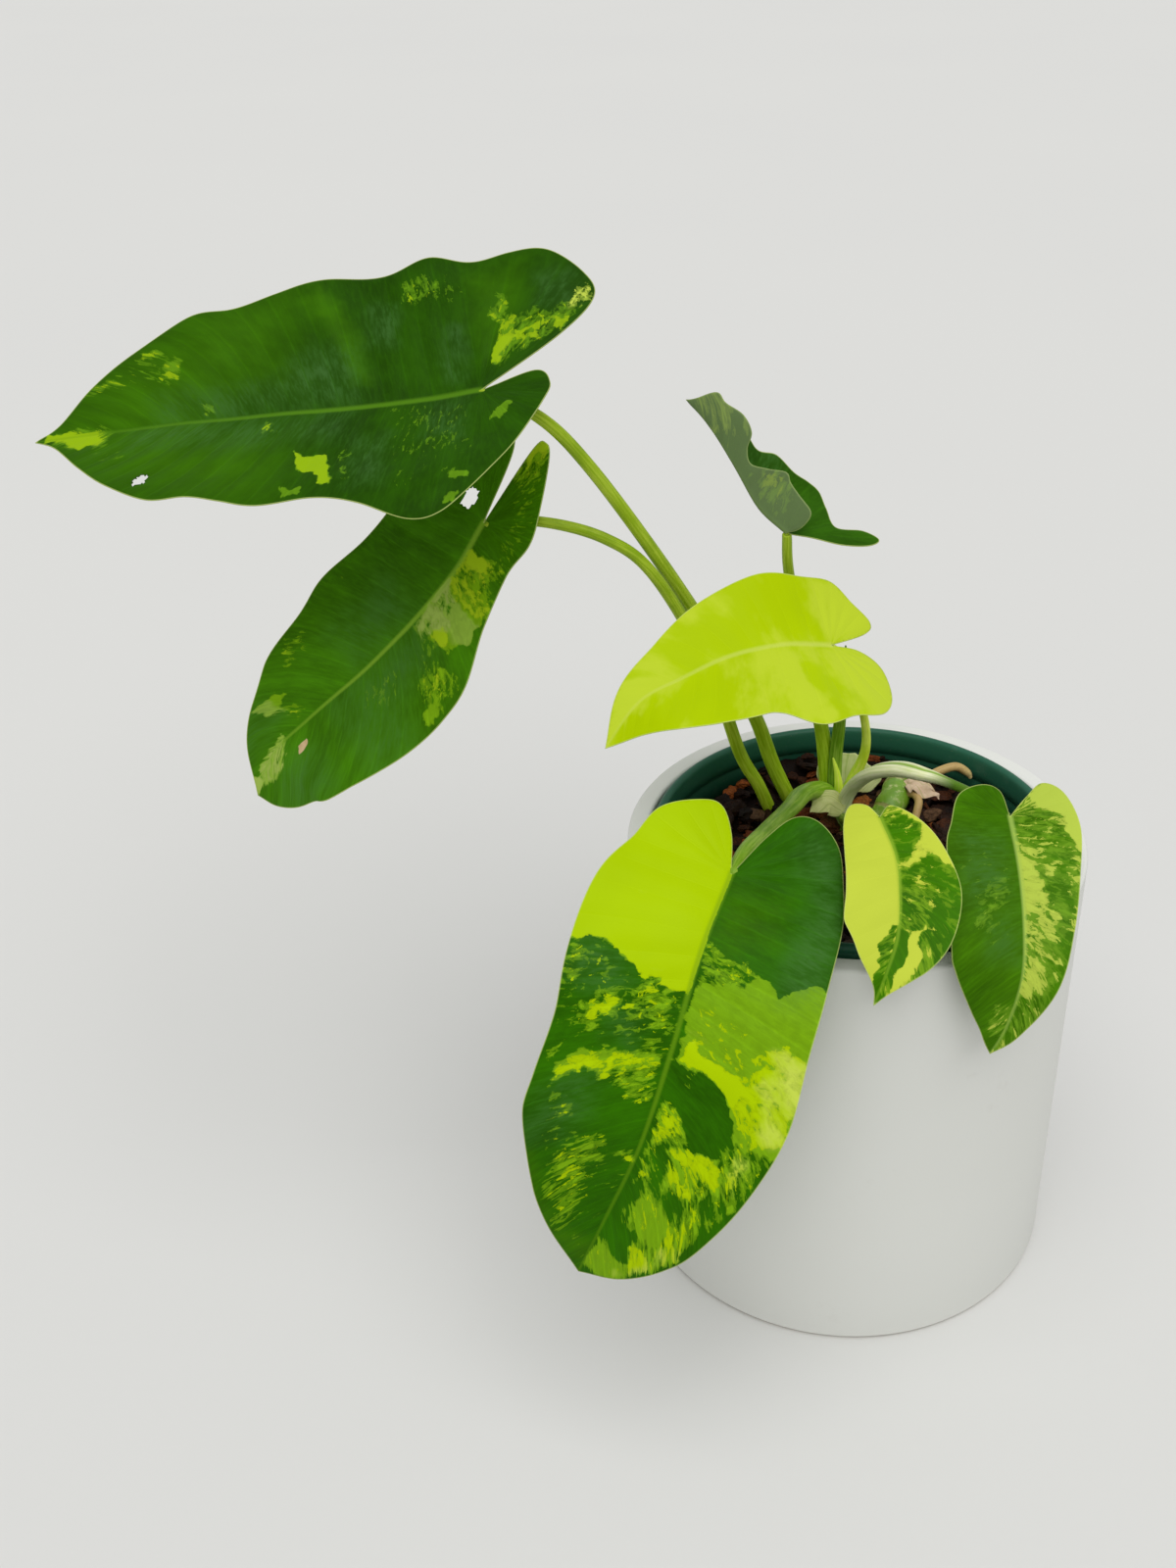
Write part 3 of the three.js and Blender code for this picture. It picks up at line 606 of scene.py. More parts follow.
stalks = {
    "petiole_4": (broad_stalk, "stalk_green", [[-42, -72, 22.6, 4.4, 3.4], [-38, -55, 22, 6.5, 4.5],
        [-32, -30, 15, 7.5, 5], [-25, -3, 8, 8, 5.5], [-21, 16, 3, 9, 6], [-15, 34, -6, 9, 8],
        [-10, 41, -14, 9, 9]]),
    "petiole_1": (green_stalk, "stalk_green", [[-139, -2, 174.4, 3.6, 3.6], [-119, 3, 164, 4.6, 4.6],
        [-102, 9, 143, 5, 5], [-77, 21, 99, 5.4, 5.4], [-54, 31, 54, 5.8, 5.8], [-42, 37, 25, 6, 6],
        [-35, 40, 2, 6.4, 6.4], [-26, 42, -20, 6.4, 6.4]]),
    "petiole_2": (green_stalk, "stalk_green", [[-144, 10, 118.6, 3.4, 3.4], [-123, 10, 121, 4, 4],
        [-98, 12, 114, 4.4, 4.4], [-80, 15, 98, 4.6, 4.6], [-60, 21, 57, 5, 5], [-48, 27, 15, 5.4, 5.4],
        [-40, 29, -2, 5.4, 5.4], [-33, 33, -22, 5.4, 5.4]]),
    "petiole_7": (green_stalk, "stalk_green", [[-31, 30.2, 110.8, 3.0, 3.0], [-31, 31, 108.5, 3.8, 3.8],
        [-30, 34, 92, 4.2, 4.2], [-24, 40, 58, 5, 5], [-16, 45, 21, 6, 6], [-13, 47, -1, 6.6, 6.6],
        [-12, 46, -13, 6.6, 6.6]]),
    "new_shoot": (dark_stalk, "stalk_lime", [[-7, 38, 60, 0.8, 0.8], [-7, 40, 45, 3.4, 3.4],
        [-8, 43, 22, 5, 5], [-9, 44, 5, 5.6, 5.6], [-9, 42, -13, 6, 6]]),
    "petiole_3": (lime_stalk, "stalk_lime", [[-11.6, 11, 73.4, 2.4, 2.4], [-4, 22, 55, 3, 3],
        [2, 34, 29, 3.4, 3.4], [3, 40, 11, 4, 4], [-1, 43, -4, 5, 5], [-5, 42, -14, 5, 5]]),
    "petiole_6": (sheath, "stalk_green", [[56, -32, 27.8, 2.8, 2.8], [46, -16, 26, 3.4, 3.4],
        [34, -3, 24, 4, 4], [27, 4, 22.3, 7, 5.2], [16, 14, 18.6, 11, 6.4], [6, 20, 12.6, 11.5, 6.4],
        [-1, 26, 2, 9.5, 5.8], [-4, 29, -7, 8, 5], [-5, 31, -16, 7, 6]]),
    "petiole_5": (dark_stalk, "stalk_green", [[9, -49.6, 35.6, 2.8, 2.8], [5, -20, 13, 3.4, 3.4],
        [0, 0, 1, 4, 4], [-3, 16, -8, 5, 5], [-4, 27, -15, 5, 5]]),
    "spear": (lime_stalk, "stalk_lime", [[-10, 41, 6, 0.8, 0.8], [-8, 40, -1, 2.6, 2], [-7, 39, -8, 4, 3],
        [-7, 39, -13, 4, 3]]),
}
for node, (finish, slot, route) in stalks.items():
    shape = winged if node == "petiole_6" else None
    fit(grow(node.replace("petiole", "stalk") + "_skin", route, finish, shape=shape), slot, node)

# Leaves: seven heart-shaped blades, thin and slightly leathery, each grown in one piece with
# its midrib. Dark green and lime are marbled along the veins, and no two leaves are alike.
RIPPLE_LENGTH = 44.0  # from one crest of the waved margin to the next
RIPPLE_REACH = 40.0  # how far from the midrib the wave has its full height
FOLD_SOFT = 1.4  # how gently the halves rise beside the midrib
LEAF_HALF = 0.3  # half the thickness of a blade, which thins to its margin
THIN_FROM = 2.5
VEIN_GAP = 8.5  # between side veins, and how wide they are
VEIN_WIDE = 0.9
VEIN_LEAN = 0.1  # how far the side veins lean forward, and how much more near the tip
TIP_LEAN = 1.4
VEIN_SPREAD = 0.45  # how they spread towards the margin, and fan out in the lobes
LOBE_FAN = 25.0
QUILT = 0.1  # the relief between the side veins, and in wide soft waves
BULGE = 0.8
CALM_EDGE = 9.0  # the relief fades out this near to the margin and to the midrib
CALM_RIB = 5.0
BULGE_EDGE = 14.0
RIB_FURROW = 0.22  # how deep the veins lie above, and how high the side veins stand below
VEIN_FURROW = 0.04
VEIN_RIDGE = 0.12
RAGGED = 1.8  # how much softer a patch's uneven border is than its outline
BESIDE_RIB = 1.6  # a patch that comes this near to the midrib ends at it
WIDE_BENDS = 0.13  # a patch's border strays in wide bends and in small ones
WIDE_STRAY = 2.6
SMALL_BENDS = 0.42
SMALL_STRAY = 1.3


def depth_inside(points, outline):
    """How far each plan point lies inside a closed outline, below zero outside it."""
    nearest = np.full(len(points), 1e9)
    inside = np.zeros(len(points), bool)
    for p, q in zip(outline, np.roll(outline, -1, axis=0)):
        edge = q - p
        share = np.clip(((points - p) @ edge) / max(edge @ edge, 1e-12), 0, 1)
        nearest = np.minimum(nearest, np.linalg.norm(points - p - share[:, None] * edge, axis=1))
        if p[1] != q[1]:
            spans = (p[1] > points[:, 1]) != (q[1] > points[:, 1])
            cross_at = p[0] + (points[:, 1] - p[1]) * edge[0] / edge[1]
            inside ^= spans & (points[:, 0] < cross_at)
    return np.where(inside, nearest, -nearest)


def outline_of(*numbers):
    """A closed outline from along, across, along, across. Four are a rectangle's far corners."""
    if len(numbers) == 4:
        x0, y0, x1, y1 = numbers
        numbers = (x0, y0, x1, y0, x1, y1, x0, y1)
    return np.array(numbers, float).reshape(-1, 2)


def evenly(curve, gap):
    """The curve's points at even steps of about the given gap."""
    length = running_length(curve)
    marks = np.linspace(0, length[-1], max(2, round(length[-1] / gap)) + 1)
    return np.stack([np.interp(marks, length, curve[:, i]) for i in range(curve.shape[1])], axis=1)


class Blade:
    """A leaf blade: a flat plan, along its midrib and across it, and how the plan lies."""

    def __init__(self, midrib, facing, rise, left, right, ripple=0.0):
        self.curve = smooth_curve(midrib, 24)
        self.curve[:, 2] += LIP_TOP
        self.lengths = running_length(self.curve)
        self.length = self.lengths[-1]
        self.start_way = unit(self.curve[3] - self.curve[0])
        self.end_way = unit(self.curve[-1] - self.curve[-4])
        self.facing = np.array(facing, float)
        self.rise = rise
        self.ripple = ripple
        ends = [0, 0], [self.length, 0]
        self.left = smooth_curve([ends[0], *left, ends[1]], 24)
        self.right = smooth_curve([ends[0], *right, ends[1]], 24)

    def on_midrib(self, along):
        """Points on the midrib's line, which runs on straight past both of its ends."""
        inside = np.clip(along, 0, self.length)
        point = np.stack([np.interp(inside, self.lengths, self.curve[:, i]) for i in range(3)], 1)
        point += np.minimum(along, 0)[:, None] * self.start_way
        return point + np.maximum(along - self.length, 0)[:, None] * self.end_way

    def place(self, plan):
        """Where the points of the plan lie."""
        along, across = plan[:, 0], plan[:, 1]
        way = unit(self.on_midrib(along + 2) - self.on_midrib(along - 2))
        side = unit(np.cross(self.facing, way))
        normal = np.cross(way, side)
        sign = np.where(across < 0, -1.0, 1.0)
        reach = np.abs(across)
        fold = np.radians(np.where(across < 0, self.rise[1], self.rise[0]))
        wave = np.sin(2 * np.pi * along / RIPPLE_LENGTH + sign)
        soft = np.sqrt(reach**2 + FOLD_SOFT**2) - FOLD_SOFT
        lift = soft * np.sin(fold) + self.ripple * (reach / RIPPLE_REACH) ** 2 * wave
        out = side * (sign * reach * np.cos(fold))[:, None]
        return self.on_midrib(along) + out + normal * lift[:, None]

    def veins(self, plan):
        """Where each plan point lies across the side veins, and how far along them. The veins
        leave the midrib almost square, lean forward near the tip and fan out in the lobes."""
        along, reach = plan[:, 0], np.abs(plan[:, 1])
        lean = VEIN_LEAN + TIP_LEAN * np.clip(along / self.length, 0, 1) ** 3
        number = (along - lean * reach) / (1 + VEIN_SPREAD * reach / self.length)
        far = np.hypot(along, reach)
        fan = -LOBE_FAN * (np.arctan2(reach, along) - math.atan2(1, VEIN_LEAN))
        return np.where(number < 0, fan, number), np.where(number < 0, far, reach)


def fill_plan(blade, gap, gaps):
    """The blade's plan as even triangles, less any gaps: its points, triangles and outline."""
    left = evenly(blade.left, gap * 0.75)
    right = evenly(blade.right, gap * 0.75)
    outline = np.concatenate([left, right[-2:0:-1]])
    low, high = outline.min(axis=0), outline.max(axis=0)
    inner = [(along, 0) for along in np.arange(gap, blade.length - gap / 2, gap * 0.8)]
    for i, across in enumerate(np.arange(low[1], high[1], gap * math.sqrt(0.75))):
        if abs(across) > gap * 0.45:
            start = low[0] + (i % 2) * gap / 2
            inner += [(along, across) for along in np.arange(start, high[0], gap)]
    inner = np.array(inner)
    inner = inner[depth_inside(inner, outline) > gap * 0.5]
    plan = np.concatenate([outline, inner])
    border = list(range(len(outline)))
    found = delaunay_2d_cdt([Vector(p) for p in plan.tolist()], [], [border], 1, 1e-4)
    plan = np.array([tuple(p) for p in found[0]])
    cells = np.array(found[2])
    area = np.cross(plan[cells[:, 1]] - plan[cells[:, 0]], plan[cells[:, 2]] - plan[cells[:, 0]])
    cells = np.where((area < 0)[:, None], cells[:, ::-1], cells)
    for corners in gaps:
        middle = plan[cells].mean(axis=1)
        cells = cells[depth_inside(middle, outline_of(*corners)) < 0]
    used = np.unique(cells)
    renumber = np.full(len(plan), -1)
    renumber[used] = np.arange(len(used))
    return plan[used], renumber[cells], outline


def patch_share(plan, astray, soft, corners):
    """How much of each plan point a patch covers, with a border as soft as given. A patch that
    keeps to one half of the leaf ends sharply at the midrib."""
    side = np.sign(corners[:, 1].sum())
    one_half = side != 0 and (corners[:, 1] * side > -BESIDE_RIB).all()
    if one_half:
        corners[np.abs(corners[:, 1]) < BESIDE_RIB, 1] = -4 * side
    share = np.clip(depth_inside(astray, corners) / soft + 0.5, 0, 1)
    share = share * share * (3 - 2 * share)
    return np.where(plan[:, 1] * side > -0.2, share, 0) if one_half else share


def stray(plan, seed):
    """The plan with its points led astray a little, so that patches get uneven borders."""
    moved = []
    for along, across in plan:
        spot = Vector((along, across, seed))
        wide = noise.noise_vector(spot * WIDE_BENDS)
        small = noise.noise_vector(spot * SMALL_BENDS)
        along = along + WIDE_STRAY * wide.x + SMALL_STRAY * small.x
        across = across + WIDE_STRAY * wide.y + SMALL_STRAY * small.y
        moved.append((along, across))
    return np.array(moved)


# What a patch does to the skin. Lime and mid run from -4, none of it, to 4, all of it, with
# marbling between, and the others from 0 to 1.
TONES = {
    "lime": {"lime": 4.0, "mid": 4.0},
    "dappled": {"lime": 0.9, "mid": 2.6},
    "mottled": {"lime": 0.1, "mid": 1.0},
    "marbled": {"lime": -0.7, "mid": 0.3},
    "flecks": {"lime": -1.4, "mid": -0.5},
    "streaks": {"mid": -1.0},
    "dark": {"lime": -4.0, "mid": -4.0},
    "mid": {"lime": -2.8, "mid": 4.0},
    "lit": {"lime": -0.8, "mid": 2.6},
    "pale": {"pale": 1.0},
    "faded": {"pale": 0.5},
    "pure": {"pale": 0.0},
    # Painted reflection: these patches paint a bluish sheen into the skin's colour.
    "cool": {"cool": 1.0},
    "warm": {"warm": 1.0},
    "dry": {"dry": 1.0},
}


def make_leaf(
    name, blade, finish, marks, gap=1.0, half=LEAF_HALF, rib=2.0, base=None, gaps=(), seed=0, crumple=0
):
    """A leaf as a closed thin shell, with the tones that its finish reads. Gap is the size of its
    triangles, half is half its thickness, rib its midrib's width, and gaps are holes in it."""
    plan, cells, outline = fill_plan(blade, gap, gaps)
    edge = np.maximum(depth_inside(plan, outline), 0)
    middle = blade.place(plan)
    if crumple:
        middle += [crumple * noise.noise_vector(Vector(p) * 0.3) for p in middle.tolist()]
    ahead = middle[cells[:, 1]] - middle[cells[:, 0]]
    facets = np.cross(ahead, middle[cells[:, 2]] - middle[cells[:, 0]])
    normals = np.zeros_like(middle)
    for corner in range(3):
        np.add.at(normals, cells[:, corner], facets)
    normals = unit(normals)
    up = np.sign((normals @ blade.facing).sum())
    normals *= up
    waves = [noise.noise(Vector((a * 0.035, b * 0.06, seed))) for a, b in plan]
    middle += normals * (BULGE * np.array(waves) * np.clip(edge / BULGE_EDGE, 0, 1))[:, None]

    number, far = blade.veins(plan)
    share = np.clip(plan[:, 0] / blade.length, 0, 1)
    rib_half = 0.35 + 0.95 * rib / 2 * (1 - 0.8 * share)
    from_rib = np.hypot(np.minimum(plan[:, 0], 0), plan[:, 1])
    rib_here = np.exp(-((from_rib / (1.15 * rib_half)) ** 2))
    vein_off = np.abs((number / VEIN_GAP + 0.5) % 1 - 0.5) * VEIN_GAP
    calm = np.clip(edge / CALM_EDGE, 0, 1) * np.clip(from_rib / CALM_RIB, 0, 1)
    vein_here = np.exp(-((vein_off / VEIN_WIDE) ** 2)) * calm
    quilt = QUILT * np.cos(2 * np.pi * number / VEIN_GAP) * calm
    thin = half * (0.45 + 0.55 * np.clip(edge / THIN_FROM, 0, 1))
    rib_ridge = 0.4 * rib * (1 - 0.75 * share)
    upper = thin - RIB_FURROW * rib_here - quilt - VEIN_FURROW * vein_here
    lower = thin + rib_ridge * rib_here + quilt + VEIN_RIDGE * vein_here
    points = np.concatenate([middle + normals * upper[:, None], middle - normals * lower[:, None]])

    count = len(plan)
    faces = [tuple(c) for c in (cells if up > 0 else cells[:, ::-1])]
    below = [(c + count, b + count, a + count) for a, b, c in faces]
    sides = {pair for a, b, c in faces for pair in ((a, b), (b, c), (c, a))}
    walls = [(b, a, a + count, b + count) for a, b in sides if (b, a) not in sides]
    piece = mesh_piece(name, points, faces + below + sorted(walls), finish)

    tones = {"lime": -4.0, "mid": -2.4, "pale": 0, "cool": 0, "warm": 0, "dry": 0, **(base or {})}
    fields = {tone: np.full(count, float(value)) for tone, value in tones.items()}
    astray = stray(plan, seed)
    for kind, soft, *numbers in marks:
        cover = patch_share(plan, astray, soft * RAGGED, outline_of(*numbers))
        for tone, value in TONES[kind].items():
            fields[tone] += (value - fields[tone]) * cover
    half_side = np.where(plan[:, 1] < 0, 0.0, 1.0)
    notes = {
        "plan": (plan[:, 0], plan[:, 1], edge),
        "vein": (number, far, half_side),
        "tone": (fields["lime"], fields["mid"], fields["pale"]),
        "cast": (fields["cool"], fields["warm"], fields["dry"]),
        "rib": (from_rib / rib_half, share, np.zeros(count)),
    }
    for key, values in notes.items():
        note(piece, key, np.tile(np.stack(values, 1), (2, 1)))
    note(piece, "under", np.repeat([0.0, 1.0], count), "FLOAT")
    return piece


# The colours that most of the blades share.
DARK = (43, 92, 0)
WARM = (52, 98, 0)
# Painted reflection: the bluish sheen colour painted where the leaves reflect the light.
PAINTED_SHEEN = (56, 100, 40)
MID = (112, 156, 14)
LIME = (168, 198, 0)
PALE_LIME = (188, 206, 76)
UNDER = (112, 130, 88)
MARGIN = (208, 222, 130)


def leaf_finish(leaf, seed, grain, rib, dark=DARK, mid=MID, lime=LIME, pale=PALE_LIME):
    """Marbled leaf skin: dark green, mid green and lime, drawn out along the side veins. Grain is
    how coarse the marbling is, and rib is the midrib's colour."""
    rib, dark, mid, lime, pale = (paint(*colour) for colour in (rib, dark, mid, lime, pale))
    skin = Finish(f"leaf_skin_{leaf}")
    _, _, edge = skin.split(skin.read("plan"))
    number, far, half = skin.split(skin.read("vein"))
    lime_here, mid_here, pale_here = skin.split(skin.read("tone"))
    painted_sheen_here, warm_here, dry_here = skin.split(skin.read("cast"))
    rib_way, share, _ = skin.split(skin.read("rib"))
    under_here = skin.read("under", out="Fac")
    side = skin.plus(skin.times(half, 31.0), seed)

    def along_veins(wide, stretch, shift, detail=6.0, rough=0.68, warp=0.0):
        """Noise drawn out along the side veins, around zero."""
        spread = skin.times(number, 1 / wide)
        drawn = skin.times(far, 1 / (wide * stretch))
        place = skin.join(spread, drawn, skin.plus(side, shift))
        return skin.less(skin.grain(place, detail, rough, warp), 0.5)

    marble = along_veins(4.4 * grain, 1.9, 0.0, 8.0, 0.66, 0.6)
    second = along_veins(3.6 * grain, 2.4, 23.0, 8.0, 0.66, 0.6)
    clouds = along_veins(9.0, 2.2, 5.0, 4.0, 0.6)
    fine = along_veins(1.0, 5.0, 11.0, 4.0, 0.6)
    drift = along_veins(26.0, 1.6, 17.0, 2.0, 0.5)
    field = skin.plus(fine, skin.calc("MULTIPLY_ADD", marble, 9, lime_here))
    lime_mask = skin.step(field, -0.09, 0.09)
    shades = skin.plus(fine, skin.calc("MULTIPLY_ADD", second, 8, mid_here))
    mid_mask = skin.plus(skin.step(shades, -0.15, 0.15, 0, 0.55), skin.step(shades, 0.5, 0.9, 0, 0.45))

    deep = skin.shade(dark, skin.step(drift, -0.2, 0.2, 0.84, 1.14))
    deep = skin.blend(warm_here, deep, paint(*WARM))
    deep = skin.shade(deep, skin.step(clouds, -0.16, 0.18, 0.84, 1.16))
    deep = skin.blend(skin.step(fine, -0.1, 0.2, 0, 0.22), deep, skin.shade(dark, 1.9))
    pale_here = skin.step(skin.calc("MULTIPLY_ADD", clouds, 1.5, pale_here), 0.25, 0.75)
    middle = skin.blend(pale_here, mid, skin.blend(0.5, mid, pale))
    middle = skin.shade(middle, skin.step(second, -0.2, 0.2, 0.9, 1.1))
    colour = skin.blend(mid_mask, deep, middle)
    bright = skin.blend(pale_here, skin.shade(lime, skin.step(drift, -0.2, 0.2, 0.97, 1.03)), pale)
    yellow = skin.step(field, 0.1, 1.4, 0.86, 1.03)
    colour = skin.blend(lime_mask, colour, skin.shade(bright, yellow))
    # Painted reflection: inside the sheen patches the colour is blended towards a painted bluish sheen, and
    # the same share raises the real specular level.
    gloss_and_painted_sheen = skin.times(painted_sheen_here, skin.step(skin.plus(fine, clouds), -0.16, 0.2, 0.1, 0.5))
    colour = skin.blend(gloss_and_painted_sheen, colour, skin.blend(lime_mask, paint(*PAINTED_SHEEN), bright))

    off = skin.calc("PINGPONG", number, VEIN_GAP / 2)
    line = skin.step(off, 0.1, 0.5, 1, 0)
    small = skin.calc("PINGPONG", skin.plus(number, 0.4), VEIN_GAP / 6)
    small_line = skin.step(small, 0.05, 0.3, 1, 0)
    lines = skin.calc("MULTIPLY_ADD", small_line, 0.05, skin.times(line, 0.12))
    lines = skin.times(lines, skin.step(lime_mask, 0, 1, 1, 0.1))
    colour = skin.shade(colour, skin.plus(lines, 1))
    midrib = skin.times(skin.step(rib_way, 0.2, 1.5, 0.85, 0), skin.step(share, 0.3, 1, 1, 0.45))
    colour = skin.blend(midrib, colour, skin.blend(lime_mask, rib, skin.blend(0.5, bright, rib)))
    margin = skin.step(edge, 0.08, 0.45, 0.6, 0)
    colour = skin.blend(margin, colour, paint(*MARGIN))

    back = skin.blend(0.7, colour, paint(*UNDER))
    colour = skin.blend(under_here, colour, back)
    scar = skin.blend(skin.grain(skin.where(2), 4, 0.6), paint(176, 140, 96), paint(214, 190, 150))
    colour = skin.blend(skin.step(dry_here, 0.35, 0.65), colour, scar)
    skin.give("Base Color", colour)
    skin.sheen(skin.step(clouds, -0.2, 0.2, 0.3, 0.42), skin.calc("MULTIPLY_ADD", gloss_and_painted_sheen, 0.12, 0.03))
    relief = skin.plus(skin.times(fine, 0.5), skin.times(line, -0.35))
    skin.bump(relief, 0.14, 0.6)
    return skin


leaf_skins = [
    leaf_finish(1, 3.0, 0.55, (80, 126, 20), (33, 72, 0), (88, 132, 14), (138, 172, 12)),
    leaf_finish(2, 19.0, 0.5, (126, 168, 44), (60, 112, 6), lime=(154, 186, 22), pale=(152, 178, 78)),
    leaf_finish(3, 37.0, 1.0, (204, 216, 108), lime=(166, 192, 0), pale=(180, 200, 44)),
    leaf_finish(4, 53.0, 0.62, (92, 136, 14), (40, 92, 0), lime=(164, 194, 0)),
    leaf_finish(5, 71.0, 0.55, (128, 166, 40), (54, 106, 0), (106, 146, 22), (184, 198, 62)),
    leaf_finish(6, 89.0, 0.6, (150, 180, 80), (60, 106, 4), (98, 140, 26), (172, 192, 70)),
    leaf_finish(7, 97.0, 0.8, (104, 140, 40), (42, 84, 6)),
]

# Each blade: its midrib, from the notch to the tip, the way its upper face looks, how steeply its
# left and right halves rise, their two edges in the plan, and how much the margin ripples.
blades = {
    1: Blade(
        [[-138, -2, 175], [-168, -6, 171], [-208, -11, 168], [-249, -15, 165], [-303, -20, 159]],
        [0, -0.46, 0.89],
        [8, 8],
        [[-20, -5], [-25, 2], [-22, 12], [-13, 30], [-5, 42], [4, 54], [13, 62], [23, 62], [40, 52],
         [57, 47], [76, 48], [88, 45], [101, 41], [116, 40], [133, 30], [146, 18], [158, 5]],
        [[-30, -19], [-43, -33], [-40, -45], [-28, -57], [-13, -60], [2, -59], [17, -63], [36, -59],
         [60, -59], [80, -56], [96, -50], [112, -48], [132, -35], [147, -21], [158, -6]],
        0.4,
    ),
    2: Blade(
        [[-144, 10, 120], [-158, 2, 99], [-186, -8, 70], [-214, -18, 47], [-228, -24, 34], [-236, -30, 17]],
        [-0.2, -0.8, 0.6],
        [10, 10],
        [[-33, 2], [-38, 6], [-34, 11], [-18, 19], [-4, 24], [12, 22], [28, 27], [46, 39], [60, 42],
         [77, 42], [92, 40], [110, 36], [126, 32], [138, 24], [144, 12]],
        [[-30, -5], [-36, -14], [-28, -24], [-12, -31], [10, -35], [40, -37], [65, -39], [84, -35],
         [104, -30], [120, -20], [136, -7]],
        0.4,
    ),
    3: Blade(
        [[-12, 10, 74], [-29, -3, 80], [-48, -14, 80], [-65, -26, 76], [-79, -38, 72], [-90, -50, 59]],
        [-0.1, -0.6, 0.8],
        [14, 14],
        [[-12, 3], [-17, 13], [-12, 29], [-2, 38], [12, 39], [25, 42], [38, 34], [54, 32], [70, 26],
         [84, 21], [96, 9]],
        [[-18, -5], [-22, -10], [-15, -18], [-6, -27], [10, -28], [26, -29], [46, -24], [66, -17],
         [88, -8]],
        0.6,
    ),
    4: Blade(
        [[-42, -72, 23], [-50, -99, 8], [-58, -120, -20], [-68, -134, -53], [-81, -141, -85],
         [-91, -143, -110]],
        [0.1, -0.7, 0.7],
        [10, 10],
        [[-18, 7], [-29, 14], [-30, 23], [-22, 33], [-8, 39], [10, 44], [34, 46], [56, 46], [79, 47],
         [100, 43], [120, 37], [140, 29], [158, 15]],
        [[-14, -5], [-23, -12], [-22, -20], [-12, -33], [4, -38], [22, -44], [44, -45], [66, -43],
         [89, -44], [108, -43], [130, -34], [152, -18]],
        0.6,
    ),
    5: Blade(
        [[9, -49, 36], [15, -64, 30], [17, -78, 24], [17, -91, 15], [14, -101, 7], [10, -108, -3]],
        [0.1, -0.7, 0.7],
        [8, 8],
        [[-3, 5], [4, 11], [18, 17], [32, 21], [46, 19], [57, 13], [68, 4]],
        [[-6, -3], [-7, -9], [1, -14], [16, -18], [34, -19], [48, -19], [58, -13], [68, -3]],
        0.8,
    ),
    6: Blade(
        [[56, -33, 29], [59, -52, 21], [61, -71, 9], [61, -83, -6], [57, -89, -23], [52, -92, -34]],
        [0.2, -0.65, 0.68],
        [10, 10],
        [[-8, 7], [-14, 14], [-9, 21], [6, 24], [25, 21], [46, 17], [64, 13], [84, 5]],
        [[-11, -2], [-13, -9], [-7, -19], [6, -24], [20, -28], [52, -28], [64, -25], [80, -14], [89, -6]],
        0.8,
    ),
    7: Blade(
        [[-31, 30, 111], [-42, 38, 118], [-53, 45, 133], [-64, 51, 147], [-72, 55, 154]],
        [0.8, 0.46, 0.5],
        [55, 60],
        [[-4, 6], [-4, 13], [3, 15], [12, 17], [20, 18], [26, 12], [31, 7], [36, 9], [40, 14], [47, 15],
         [54, 12], [58, 12], [62, 5]],
        [[-7, -8], [-16, -16], [-22, -25], [-22, -31], [-15, -29], [-8, -21], [1, -25], [9, -29], [15, -28],
         [21, -25], [30, -22], [35, -15], [44, -15], [54, -12], [62, -5]],
        0.6,
    ),
}

